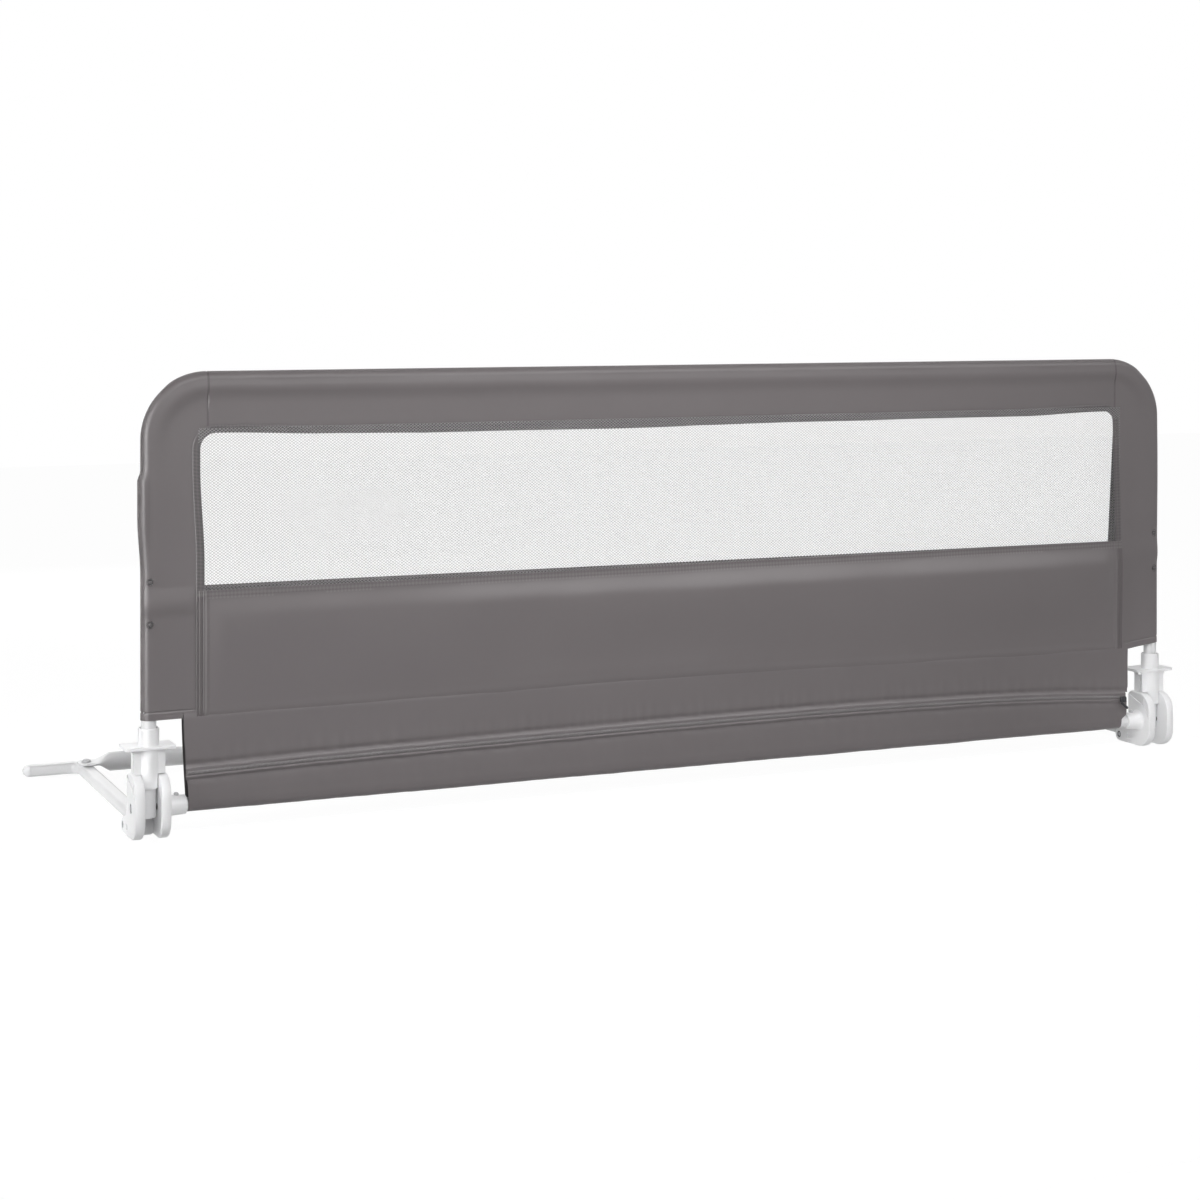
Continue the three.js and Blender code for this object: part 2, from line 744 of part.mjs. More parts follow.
// Release slider: sleeve, plate, column, tongue, web and legs in one moulding
function makeSlider() {
  const radius = sliderDiameter / 2;
  const lip = sliderSpringWall / 2;
  const height = sliderTop - columnBottom;
  const column = turned([[0, 0], [radius, 0], [radius, height - lip], [radius - lip, height], [0, height]],
    upAxis, at(0, 0, columnBottom), tubeSides);
  const tongueWidth = cheekGap - 2 * swingGap;
  const tongueHeight = columnBottom - tongueBottom + cutOverrun;
  const tongueBlock = box(tongueWidth, sliderDiameter, tongueHeight,
    at(0, 0, tongueBottom + tongueHeight / 2));
  const tongue = rod(radius, tongueHeight, upAxis, at(0, 0, tongueBottom), tubeSides).intersect(tongueBlock);
  const plateDepth = plateFront + plateBack;
  const plate = extrude(roundedRectangle(plateWidth, plateDepth, plateCornerRadius), plateThickness, upAxis,
    at(0, (plateBack - plateFront) / 2, plateBottom), cornerSteps);
  const web = box(2 * (legOutside - legThickness / 2), webFront + webBack, plateBottom - columnBottom,
    at(0, (webBack - webFront) / 2, (plateBottom + columnBottom) / 2));
  const legs = [-1, 1].map((hand) => sliderLeg(hand));
  const grooves = [-1, 1].map((hand) => sliderGroove(hand));
  const springRoom = rod(radius - sliderSpringWall, sliderTop - sliderSpringSeat + cutOverrun, upAxis,
    at(0, 0, sliderSpringSeat), tubeSides);
  const bore = rod(railRadius + seatGap, sliderTop - tongueBottom + 2 * cutOverrun, upAxis,
    at(0, 0, tongueBottom - cutOverrun), tubeSides);
  return cut(join(column, tongue, plate, web, ...legs), ...grooves, springRoom, bore);
}

// An upright groove in the side of the housing, wider under the plate
function sliderGroove(hand) {
  const depth = grooveDepth + cutOverrun + legFillet;
  const x = hand * (legOutside - grooveDepth + depth / 2);
  const bottom = columnBottom - cutOverrun;
  const groove = box(depth, grooveWidth, plateBottom - bottom, at(x, grooveWidth / 2 - grooveFront,
    (plateBottom + bottom) / 2));
  const notch = box(depth, notchWidth, notchHeight, at(x, notchWidth / 2 - grooveFront,
    plateBottom - notchHeight / 2));
  return join(groove, notch);
}

// A leg with a concave fillet up to the plate, drawn in x and z
function sliderLeg(hand) {
  const inside = legOutside - legThickness;
  const top = plateBottom + plateThickness / 2;
  const shape = new THREE.Shape();
  shape.moveTo(inside, columnBottom);
  shape.lineTo(legOutside, columnBottom);
  shape.absarc(legOutside + legFillet, plateBottom - legFillet, legFillet, Math.PI, Math.PI / 2, true);
  shape.lineTo(legOutside + legFillet, top);
  shape.lineTo(inside, top);
  const geometry = new THREE.ExtrudeGeometry(shape, { depth: webFront + legBack, bevelEnabled: false,
    curveSegments: arcSteps });
  geometry.applyMatrix4(towardsRoom);
  geometry.translate(0, legBack, 0);
  geometry.applyMatrix4(new THREE.Matrix4().makeScale(hand, 1, 1));
  return toSolid(geometry);
}

function makeCollar() {
  const outer = sliderDiameter / 2 - sliderSpringWall - seatGap;
  return tube(outer, railRadius + seatGap, collarThickness, upAxis, at(0, 0, collarBottom));
}

// Compression spring between the slider's inner shoulder and the collar
class Helix extends THREE.Curve {
  constructor(radius, bottom, height, turns) {
    super();
    Object.assign(this, { radius, bottom, height, turns });
  }

  getPoint(t, target = new THREE.Vector3()) {
    const angle = 2 * Math.PI * this.turns * t;
    const height = this.bottom + this.height * t;
    return target.set(this.radius * Math.cos(angle), this.radius * Math.sin(angle), height);
  }
}

function makeReleaseSpring() {
  const wire = springWire / 2;
  const inner = railRadius + seatGap;
  const outer = sliderDiameter / 2 - sliderSpringWall;
  const bottom = sliderSpringSeat + seatGap + wire;
  const top = collarBottom - seatGap - wire;
  const path = new Helix((inner + outer) / 2, bottom, top - bottom, springTurns);
  const steps = springTurns * springStepsPerTurn;
  const points = path.getPoints(steps);
  let leastGap = Infinity;
  points.forEach((p, i) => {
    points.slice(i + springStepsPerTurn / 2).forEach((q) => {
      leastGap = Math.min(leastGap, p.distanceTo(q) - springWire);
    });
  });
  console.log(`release spring: least gap between its turns ${leastGap.toFixed(2)} mm`);
  const section = new THREE.Shape(circle(wire).getSpacedPoints(springSides).slice(1));
  return toSolid(new THREE.ExtrudeGeometry(section, { steps, extrudePath: path }));
}

// Cover frame: a channel swept round the bent tube with a cloth border in front and behind
function frameStations(reach) {
  const left = cornerStations(sleeveBottom, reach).map((p) => at(p.x - postX, 0, p.z));
  const right = left.map((p) => at(-p.x, 0, p.z)).reverse();
  return [...left, ...right];
}

function makeCoverFrame() {
  const channel = sweep(ring(coverOuter, coverInner), frameStations(railBendRadius), tubeSides / 2);
  const outline = frameStations(railBendRadius).map((p) => new THREE.Vector2(p.x, p.z));
  const half = postX - windowInset;
  const inner = [[half, sleeveBottom], [half, windowTop], [-half, windowTop], [-half, sleeveBottom]];
  const border = new THREE.Shape([...outline, ...inner.map(([x, z]) => new THREE.Vector2(x, z))]);
  const front = extrude(border, clothThickness, towardsRoom, at(0, -coverInner, 0));
  const back = extrude(border, clothThickness, towardsRoom, at(0, coverOuter, 0));
  return join(channel, front, back);
}

// The frame is parted by the top band's seams, and by its lower edge where a seam is close to the post
function topBand(margin) {
  const left = topSeamInsetLeft - postX + seatGap / 2 - margin;
  const right = postX - topSeamInsetRight - seatGap / 2 + margin;
  const bottom = windowTop - margin;
  const height = coverTopHeight - bottom + cutOverrun;
  return box(right - left, 4 * coverOuter, height, at((left + right) / 2, 0, bottom + height / 2));
}

const coverFrame = makeCoverFrame();

function makeCoverTop() {
  return coverFrame.intersect(topBand(0));
}

function makeCoverSide(side) {
  const half = box(postX + coverOuter + cutOverrun, 4 * coverOuter, 2 * coverTopHeight,
    at((side * (postX + coverOuter + cutOverrun)) / 2, 0, 0));
  const eyelets = [lowButtonHeight, highButtonHeight].map((height) =>
    rod(eyeletDiameter / 2, 2 * coverOuter, towardsRoom, at(side * postX, -joinerInner, height)));
  return cut(coverFrame.intersect(half), topBand(seatGap), ...eyelets);
}

// The zipper's gentle arch from end to end of the cover
const zipperStart = -postX + flapInsetLeftLow;
const zipperEnd = postX - flapInsetRightLow;

function zipperHeight(x) {
  const middle = (zipperStart + zipperEnd) / 2;
  const share = (x - middle) / (zipperEnd - middle);
  const bow = zipperHeightMiddle - (zipperHeightLeft + zipperHeightRight) / 2;
  const slope = (zipperHeightRight - zipperHeightLeft) / 2;
  return zipperHeightMiddle + slope * share - bow * share * share;
}

function zipperLine(offset) {
  const points = [];
  for (let i = 0; i <= zipperSteps; i += 1) {
    const x = zipperStart + ((zipperEnd - zipperStart) * i) / zipperSteps;
    points.push(new THREE.Vector2(x, zipperHeight(x) + offset));
  }
  return points;
}

function makeCoverFront() {
  const step = sleeveBottom - seatGap;
  const left = -postX + windowInset + seatGap;
  const right = postX - windowInset - seatGap;
  const shape = new THREE.Shape([
    ...zipperLine(zipperSlot / 2),
    new THREE.Vector2(postX - flapInsetRightHigh, step),
    new THREE.Vector2(right, step),
    new THREE.Vector2(right, windowBottom),
    new THREE.Vector2(left, windowBottom),
    new THREE.Vector2(left, step),
    new THREE.Vector2(-postX + flapInsetLeftHigh, step),
  ]);
  return extrude(shape, clothThickness, towardsRoom, at(0, -coverInner, 0));
}

function makeCoverBack() {
  const width = postSpacing - 2 * (windowInset + seatGap);
  const height = backWindowBottom - sleeveBottom;
  return box(width, clothThickness, height,
    at(0, coverInner + clothThickness / 2, sleeveBottom + height / 2));
}

// The flap hangs under the low tube: a trough with a leg up to the zipper and one up to the back panel
function makeCoverFlap() {
  const high = zipperHeightMiddle + zipperTapeWidth;
  const back = sleeveBottom - seatGap;
  const trough = new THREE.Shape();
  trough.moveTo(-flapOuter, high);
  trough.absarc(0, pivotHeight, flapOuter, Math.PI, 2 * Math.PI, false);
  trough.lineTo(flapOuter, back);
  trough.lineTo(flapInner, back);
  trough.absarc(0, pivotHeight, flapInner, 2 * Math.PI, Math.PI, true);
  trough.lineTo(-flapInner, high);
  const body = extrude(trough, zipperEnd - zipperStart, alongX, at(zipperStart, 0, 0));
  const above = new THREE.Shape([
    new THREE.Vector2(zipperStart - cutOverrun, zipperLine(-zipperSlot / 2)[0].y),
    ...zipperLine(-zipperSlot / 2),
    new THREE.Vector2(zipperEnd + cutOverrun, zipperLine(-zipperSlot / 2)[zipperSteps].y),
    new THREE.Vector2(zipperEnd + cutOverrun, high + cutOverrun),
    new THREE.Vector2(zipperStart - cutOverrun, high + cutOverrun),
  ]);
  return cut(body, extrude(above, 2 * flapOuter, towardsRoom, at(0, 0, 0)));
}

// Zipper: tape with a raised ridge on each side of the teeth
function makeZipper() {
  const half = zipperTapeWidth / 2;
  const ridge = zipperRidgeWidth / 2;
  const tape = zipperTapeThickness;
  const points = [new THREE.Vector2(0, -half), new THREE.Vector2(tape, -half)];
  for (const centre of [-zipperRidgeOffset, zipperRidgeOffset]) {
    points.push(new THREE.Vector2(tape, centre - ridge));
    points.push(new THREE.Vector2(zipperRidgeHeight, centre - ridge / 2));
    points.push(new THREE.Vector2(zipperRidgeHeight, centre + ridge / 2));
    points.push(new THREE.Vector2(tape, centre + ridge));
  }
  points.push(new THREE.Vector2(tape, half), new THREE.Vector2(0, half));
  const face = -coverOuter - clothGap;
  const stations = zipperLine(0).map((p) => at(p.x, face, p.y));
  return sweep(new THREE.Shape(points), stations);
}

function makeZipperSlider() {
  const face = -coverOuter - clothGap - zipperRidgeHeight - seatGap;
  const x = postX - pullerInset;
  const z = zipperHeight(x);
  const bodyShape = roundedRectangle(pullerWidth, pullerHeight, pullerWidth / 3);
  const body = extrude(bodyShape, pullerThickness, towardsRoom, at(x, face, z), cornerSteps);
  const tabShape = roundedRectangle(pullTabWidth, pullTabLength, pullTabWidth / 3);
  const eyeHeight = pullTabWidth - pullTabLength / 2;
  tabShape.holes.push(new THREE.Path().absarc(0, eyeHeight, pullTabWidth / 4, 0, 2 * Math.PI, true));
  const tab = extrude(tabShape, pullTabThickness, towardsRoom,
    at(x, face - pullerThickness + pullTabThickness / 2, z - pullTabLength / 2), cornerSteps);
  return join(body, tab);
}

// Window net: a lattice of strands with staggered diamond gaps, cut off along the border
function netGap(x, z, halfX, halfZ, bounds) {
  const corners = [[x - halfX, z], [x, z - halfZ], [x + halfX, z], [x, z + halfZ]];
  let polygon = corners;
  const sides = [[0, bounds.left, 1], [0, bounds.right, -1], [1, bounds.bottom, 1], [1, bounds.top, -1]];
  for (const [axis, limit, sign] of sides) {
    const kept = [];
    polygon.forEach((p, i) => {
      const q = polygon[(i + 1) % polygon.length];
      const pIn = sign * (p[axis] - limit) > 0;
      const qIn = sign * (q[axis] - limit) > 0;
      if (pIn) kept.push(p);
      if (pIn !== qIn) {
        const t = (limit - p[axis]) / (q[axis] - p[axis]);
        kept.push([p[0] + t * (q[0] - p[0]), p[1] + t * (q[1] - p[1])]);
      }
    });
    polygon = kept;
  }
  return polygon.map(([px, pz]) => new THREE.Vector2(px, pz));
}

function makeNet() {
  const left = -postX + windowInset;
  const right = postX - windowInset;
  const face = -coverInner + clothGap;
  const sheet = box(right - left + 2 * netHem, netThickness, windowTop - windowBottom + 2 * netHem,
    at((left + right) / 2, face + netThickness / 2, (windowTop + windowBottom) / 2));
  const gaps = [];
  const pitchX = (right - left) / netColumns;
  const pitchZ = (windowTop - windowBottom) / netRows;
  const slant = Math.hypot(pitchX, pitchZ) / (2 * pitchX * pitchZ);
  const shrink = 1 - 2 * netStrand * slant;
  const bounds = { left: left + netBorder, right: right - netBorder,
    bottom: windowBottom + netBorder, top: windowTop - netBorder };
  for (let i = 0; i <= 2 * netColumns; i += 1) {
    for (let j = 0; j <= 2 * netRows; j += 1) {
      if ((i + j) % 2 === 0) {
        const gap = netGap(left + (i * pitchX) / 2, windowBottom + (j * pitchZ) / 2,
          (shrink * pitchX) / 2, (shrink * pitchZ) / 2, bounds);
        gaps.push(extrude(new THREE.Shape(gap), 2 * netThickness, towardsRoom,
          at(0, face + 1.5 * netThickness, 0)));
      }
    }
  }
  return cut(sheet, ...gaps);
}

// Base
addAtBothPosts("arm", makeArm(), greyPaint);
addAtBothPosts("arm_plug", makeArmPlug(), whitePlastic);
addAtBothPosts("foot_cap", makeFootCap(), greyPaint);
addAtBothPosts("crossbar", makeCrossbar(), greyPaint);
addMesh("crossbar_joiner", tube(crossbarDiameter / 2 - crossbarWall - seatGap,
  crossbarDiameter / 2 - 2 * crossbarWall - seatGap, crossJoinerLength, alongX,
  at(-crossJoinerLength / 2, crossbarY, crossbarHeight)), zincSteel);
addAtBothPosts("crossbar_screw", makeCrossbarScrew(), darkSteel);
addAtBothPosts("cheek_outer", makeOuterCheek(), whitePlastic);
addAtBothPosts("cheek_inner", makeInnerCheek(), whitePlastic);
addAtBothPosts("pivot_pin", makePivotPin(), darkSteel);
addAtBothPosts("arm_rivet", makeArmRivet(), darkSteel);
addAtBothPosts("low_tube", makeLowTube(), greyPaint);
addMesh("low_joiner", tube(lowTubeRadius - lowTubeWall - seatGap, lowTubeRadius - 2 * lowTubeWall - seatGap,
  lowJoinerLength, alongX, at(-lowJoinerLength / 2, 0, pivotHeight)), zincSteel);
addAtBothPosts("low_button", makeLowButton(), zincSteel);

// Guard frame
addAtBothPosts("post", makePost(), greyPaint);
addAtBothPosts("post_joiner", makePostJoiner(), zincSteel);
addAtBothPosts("post_button_low", makePostButton(lowButtonHeight), zincSteel);
addAtBothPosts("post_button_high", makePostButton(highButtonHeight), zincSteel);
addAtBothPosts("corner_tube", makeCornerTube(), greyPaint);
const topTubeLength = postSpacing - 2 * cornerTubeReach - 2 * seatGap;
addMesh("top_tube", tube(railRadius, railRadius - railWall, topTubeLength, alongX,
  at(-topTubeLength / 2, 0, railHeight)), greyPaint);
addAtBothPosts("top_joiner", tube(joinerOuter, joinerInner, topJoinerLength, alongX,
  at(cornerTubeReach - topJoinerLength / 2, 0, railHeight)), zincSteel);
addAtBothPosts("spring_ring", makeCollar(), zincSteel);

// Release
addAtBothPosts("slider", makeSlider(), whitePlastic);
addAtBothPosts("release_spring", makeReleaseSpring(), springSteel);

// Cover
for (const { label, side } of ends) addMesh(`cover_side_${label}`, makeCoverSide(side), greyCloth);
addMesh("cover_top", makeCoverTop(), greyCloth);
addMesh("cover_front", makeCoverFront(), greyCloth);
addMesh("cover_back", makeCoverBack(), greyCloth);
addMesh("cover_flap", makeCoverFlap(), greyCloth);
addMesh("window_net", makeNet(), netCloth);
addMesh("zipper", makeZipper(), zipperCloth);
addMesh("zipper_slider", makeZipperSlider(), darkSteel);

export default model;
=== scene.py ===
import math

import bmesh
import bpy
import numpy as np
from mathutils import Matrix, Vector, noise


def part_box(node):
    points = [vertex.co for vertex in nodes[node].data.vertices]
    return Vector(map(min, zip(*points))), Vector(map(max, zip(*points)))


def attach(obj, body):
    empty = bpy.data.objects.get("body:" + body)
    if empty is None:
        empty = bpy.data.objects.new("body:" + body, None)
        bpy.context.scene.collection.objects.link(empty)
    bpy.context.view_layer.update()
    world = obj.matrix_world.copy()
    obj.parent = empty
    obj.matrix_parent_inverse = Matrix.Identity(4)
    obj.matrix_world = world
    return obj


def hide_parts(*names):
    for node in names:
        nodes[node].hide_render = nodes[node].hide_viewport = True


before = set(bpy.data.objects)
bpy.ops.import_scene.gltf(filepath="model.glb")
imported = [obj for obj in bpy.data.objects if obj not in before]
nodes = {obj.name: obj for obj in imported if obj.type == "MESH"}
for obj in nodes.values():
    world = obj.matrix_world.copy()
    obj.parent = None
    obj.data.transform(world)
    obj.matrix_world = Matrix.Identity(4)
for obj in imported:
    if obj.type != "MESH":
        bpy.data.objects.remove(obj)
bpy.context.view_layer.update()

# Sizes in millimetres: x from the middle of the guard, y from the posts' axes, z from the ground
MM = 0.001
POST_LOW, POST_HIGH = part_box("post_left")
AXIS_Y = (POST_LOW.y + POST_HIGH.y) / 2
POST_X = 725.0
PIVOT_Z = 37.0
RAIL_Z = 544.0
BEND = 70.0
SLEEVE_Z = 141.0
CLOTH = 0.6
STITCH_LIFT = CLOTH / 2 + 0.02
SLEEVE_RADIUS = 9.4
BORDER = 63.0
WINDOW_TOP = RAIL_Z - BORDER
WINDOW_BOTTOM = 294.3
BACK_BOTTOM = 295.5
SEAM_LEFT = -POST_X + 70.0
SEAM_RIGHT = POST_X - 66.5
SEAM_WIDTH, SEAM_DEPTH = 1.4, 1.5
PANEL_SIDE = POST_X - BORDER + 7
PANEL_DEPTH = 9.15
CREASE_Z = 145.0
FRONT_HEM, BACK_HEM, SIDE_HEM = 7.6, 8.5, 8.6
FLAP_RADIUS = 8.9
FLAP_TOP = 146.0
ZIP_LEFT, ZIP_RIGHT = 45.5, 50.0
TAPE_DEPTH, TEETH_DEPTH = 10.5, 11.1
TOOTH_PITCH = 1.5
EYELET_Z = (255.0, 305.5)
EYELET_RADIUS, EYELET_STITCHES = 3.5, 26
NET_PITCH = (4.7, 3.5)
STRAND_WIDTH, STRAND_DEPTH = 0.46, 0.26
HEM_PITCH = 4.6

# Materials: pitches in metres, shares of one, an angle in degrees
WEAVE_PITCH, COARSE_PITCH, TAPE_PITCH, RIB_PITCH = 0.0009, 0.0012, 0.0007, 0.0021
WEAVE_SHARE, PATCH_SHARE, FIBRE_SHARE = 0.4, 0.35, 0.25
FINE_BUMP = 0.00008
# Share of a rivet's radius that stays free of the painted shadow ring
UNSHADOWED_CORE_SHARE = 0.3
FACET_ANGLE = 32


# Small helpers
def smooth(t):
    """A soft step from 0 to 1."""
    t = np.clip(t, 0.0, 1.0)
    return t * t * (3 - 2 * t)


def hump(value, middle, width):
    """A bell of height 1."""
    return np.exp(-(((value - middle) / width) ** 2))


def between(value, low, rise, high, fall):
    """1 between low and high: it fades in over rise and out over fall."""
    return smooth((value - low) / rise) * smooth((high - value) / fall)


def ripple(x, y, z, wavelength, seed):
    """Smooth noise between about -1 and 1 over points given in millimetres."""
    shape = np.broadcast(x, y, z).shape
    flat = [np.broadcast_to(v, shape).ravel() / wavelength for v in (x, y, z)]
    shift = 7.31 * seed
    values = [noise.noise(Vector((a + shift, b - shift, c + 2 * shift))) for a, b, c in zip(*flat)]
    return np.array(values).reshape(shape)


def to_frame(points):
    """Millimetres from the posts' axes to metres in the frame."""
    placed = np.asarray(points, float) * MM
    placed[..., 1] += AXIS_Y
    return placed


def mesh_object(name, points, faces, materials, slots=None, uv=None):
    """A piece from points in millimetres; slots number its faces' materials, uv is in millimetres too."""
    mesh = bpy.data.meshes.new(name)
    mesh.from_pydata(to_frame(points).tolist(), [], faces)
    for material in materials:
        mesh.materials.append(material)
    if slots is not None:
        mesh.polygons.foreach_set("material_index", np.asarray(slots, np.int32))
    if uv is not None:
        layer = mesh.uv_layers.new(name="cloth")
        corners = np.zeros(len(mesh.loops), np.int32)
        mesh.loops.foreach_get("vertex_index", corners)
        layer.data.foreach_set("uv", (np.asarray(uv, float)[corners] * MM).ravel())
    mesh.update()
    thing = bpy.data.objects.new(name, mesh)
    bpy.context.scene.collection.objects.link(thing)
    return thing


def grid_faces(rows, columns, first=0):
    """Four-cornered faces between the points of a grid that starts at point number first."""
    r, c = np.meshgrid(np.arange(rows - 1), np.arange(columns - 1), indexing="ij")
    a = (first + r * columns + c).ravel()
    return np.stack([a, a + columns, a + columns + 1, a + 1], axis=1).tolist()


def grid_uv(points):
    """Distances along both directions of a grid, from its middle row and column."""
    rows, columns = points.shape[:2]
    across = np.zeros((rows, columns))
    along = np.zeros((rows, columns))
    across[:, 1:] = np.cumsum(np.linalg.norm(np.diff(points, axis=1), axis=2), axis=1)
    along[1:, :] = np.cumsum(np.linalg.norm(np.diff(points, axis=0), axis=2), axis=0)
    middle = columns // 2
    along = np.broadcast_to(along[:, middle:middle + 1], along.shape)
    return np.stack([along, across], axis=2).reshape(-1, 2)


def bake_modifiers(thing):
    """Replaces the piece's mesh by what its modifiers make of it."""
    graph = bpy.context.evaluated_depsgraph_get()
    mesh = bpy.data.meshes.new_from_object(thing.evaluated_get(graph))
    thing.modifiers.clear()
    old = thing.data
    name = old.name
    thing.data = mesh
    bpy.data.meshes.remove(old)
    mesh.name = name


def thicken(thing):
    """Gives a sheet the cloth's thickness, half to each side."""
    solid = thing.modifiers.new("thickness", "SOLIDIFY")
    solid.thickness = CLOTH * MM
    solid.offset = 0.0
    solid.use_even_offset = True
    bake_modifiers(thing)


def soften(thing, angle=50):
    """Smooth shading that keeps edges sharper than the angle in degrees."""
    thing.data.shade_smooth()
    thing.data.set_sharp_from_angle(angle=math.radians(angle))


def face_count(grid):
    """How many faces grid_faces makes of a grid."""
    return (grid.shape[0] - 1) * (grid.shape[1] - 1)


def cloth_mesh(name, grids, materials, slots=None):
    """One piece of cloth from grids of points, still without thickness."""
    faces, first = [], 0
    for grid in grids:
        faces += grid_faces(*grid.shape[:2], first=first)
        first += grid.shape[0] * grid.shape[1]
    points = np.concatenate([grid.reshape(-1, 3) for grid in grids])
    uv = np.concatenate([grid_uv(grid) for grid in grids])
    return mesh_object(name, points, faces, materials, slots, uv)


def finish_cloth(thing, slot, *solids):
    """Smooth shading, the body it rides on and the CAD solids that it stands for; the slot argument is not
    used.
    """
    soften(thing)
    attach(thing, "guard")
    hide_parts(*solids)
    return thing


# Materials
def new_material(name):
    """A material with its node tree and its main shader."""
    material = bpy.data.materials.new(name)
    material.use_nodes = True
    tree = material.node_tree
    return material, tree, tree.nodes["Principled BSDF"]


def node(tree, kind, **settings):
    """A new node with values set on its inputs or on itself."""
    made = tree.nodes.new(kind)
    for key, value in settings.items():
        if key in made.inputs:
            made.inputs[key].default_value = value
        else:
            setattr(made, key, value)
    return made


def set_inputs(made, values):
    """Sets a node's inputs by their names."""
    for key, value in values.items():
        made.inputs[key].default_value = value


def calculate(tree, operation, first, second=None):
    """The output of a new math node; each input is a number or another node's output."""
    made = node(tree, "ShaderNodeMath", operation=operation)
    for socket, value in zip(made.inputs, (first, second)):
        if isinstance(value, (int, float)):
            socket.default_value = value
        elif value is not None:
            tree.links.new(value, socket)
    return made.outputs[0]


def scaled(tree, value, factor, shift=None):
    """The output of value times factor, plus shift where one is given."""
    value = calculate(tree, "MULTIPLY", value, factor)
    return value if shift is None else calculate(tree, "ADD", value, shift)


def linear(value):
    """A colour of 0 to 255 per channel as the shader's linear one."""
    shares = [v / 255 for v in value]
    return tuple(v / 12.92 if v <= 0.04045 else ((v + 0.055) / 1.055) ** 2.4 for v in shares) + (1.0,)


def shades(colour, spread):
    """A darker and a lighter shade of a colour, by a share of its brightness."""
    middle = linear(colour)[:3]
    return [tuple(min(1.0, c * (1 + part)) for c in middle) + (1.0,) for part in (-spread, spread)]


def shade_between(tree, factor, dark, light):
    """A colour that goes from dark to light as the factor goes from 0 to 1."""
    mix = node(tree, "ShaderNodeMix", data_type="RGBA")
    tree.links.new(factor, mix.inputs[0])
    mix.inputs[6].default_value = dark
    mix.inputs[7].default_value = light
    return mix.outputs[2]


def split(tree, vector):
    """The outputs x, y and z of a vector."""
    separate = node(tree, "ShaderNodeSeparateXYZ")
    tree.links.new(vector, separate.inputs[0])
    return separate.outputs


def speckle(tree, place, scale, detail, roughness):
    """The output of a noise texture over the object's own coordinates."""
    made = node(tree, "ShaderNodeTexNoise", Scale=scale, Detail=detail, Roughness=roughness)
    tree.links.new(place.outputs["Object"], made.inputs["Vector"])
    return made.outputs["Fac"]


def add_relief(tree, shader, height, strength, distance):
    """Bumps as high as distance in metres where height is 1."""
    bump = node(tree, "ShaderNodeBump", Strength=strength, Distance=distance)
    tree.links.new(height, bump.inputs["Height"])
    tree.links.new(bump.outputs[0], shader.inputs["Normal"])


def weave_height(tree, coordinates, pitch, turned=0.0):
    """A plain weave: threads over and under each other, one pitch in metres apart."""
    mapping = node(tree, "ShaderNodeMapping", Rotation=(0, 0, turned))
    tree.links.new(coordinates, mapping.inputs["Vector"])
    x, y = split(tree, mapping.outputs[0])[:2]
    warp, weft = (calculate(tree, "SINE", scaled(tree, v, math.pi / pitch)) for v in (x, y))
    return scaled(tree, calculate(tree, "MULTIPLY", warp, weft), 0.5, 0.5)


def cloth_material(name, colour, pitch=WEAVE_PITCH, contrast=0.07, roughness=0.46, ribs=False,
                   lattice=0.0, light_lattice=False):
    """Woven cloth; ribs run along a zipper's tape, and lattice is how much the net under a hem shows."""
    material, tree, shader = new_material(name)
    uv = node(tree, "ShaderNodeUVMap", uv_map="cloth")
    place = node(tree, "ShaderNodeTexCoord")
    weave = weave_height(tree, uv.outputs[0], pitch)
    if ribs:
        rib = calculate(tree, "SINE", scaled(tree, split(tree, uv.outputs[0])[0], 2 * math.pi / RIB_PITCH))
        weave = scaled(tree, rib, 0.3, weave)
    patches = speckle(tree, place, 9.0, 3.0, 0.55)
    fibre = speckle(tree, place, 900.0, 2.0, 0.6)
    tone = scaled(tree, weave, WEAVE_SHARE, scaled(tree, patches, PATCH_SHARE))
    tone = scaled(tree, fibre, FIBRE_SHARE, tone)
    spread = contrast + lattice / 2
    if lattice:
        knots = weave_height(tree, uv.outputs[0], HEM_PITCH * MM / math.sqrt(2), math.radians(45))
        knots = scaled(tree, calculate(tree, "SUBTRACT", knots, 0.5), lattice / contrast)
        tone = calculate(tree, "SUBTRACT" if light_lattice else "ADD", tone, knots)
        tone = scaled(tree, calculate(tree, "SUBTRACT", tone, 0.5), contrast / spread, 0.5)
    tree.links.new(shade_between(tree, tone, *shades(colour, spread)), shader.inputs["Base Color"])
    tree.links.new(scaled(tree, fibre, 0.12, roughness - 0.06), shader.inputs["Roughness"])
    add_relief(tree, shader, scaled(tree, fibre, 0.6, weave), 0.2, FINE_BUMP)
    set_inputs(shader, {"Sheen Weight": 0.02, "Sheen Roughness": 0.45, "Sheen Tint": (0.9, 0.88, 0.89, 1.0),
                        "Specular IOR Level": 0.36})
    return material


def shadow_ring_mask(tree, place):
    """1 on a round piece's rim, where a dark shadow ring is painted, and 0 on its core, measured across its x
    axis from its middle.
    """
    squares = []
    for socket in split(tree, place.outputs["Generated"])[1:3]:
        away = calculate(tree, "SUBTRACT", socket, 0.5)
        squares.append(calculate(tree, "MULTIPLY", away, away))
    distance = calculate(tree, "SQRT", calculate(tree, "ADD", *squares))
    return calculate(tree, "GREATER_THAN", distance, UNSHADOWED_CORE_SHARE)


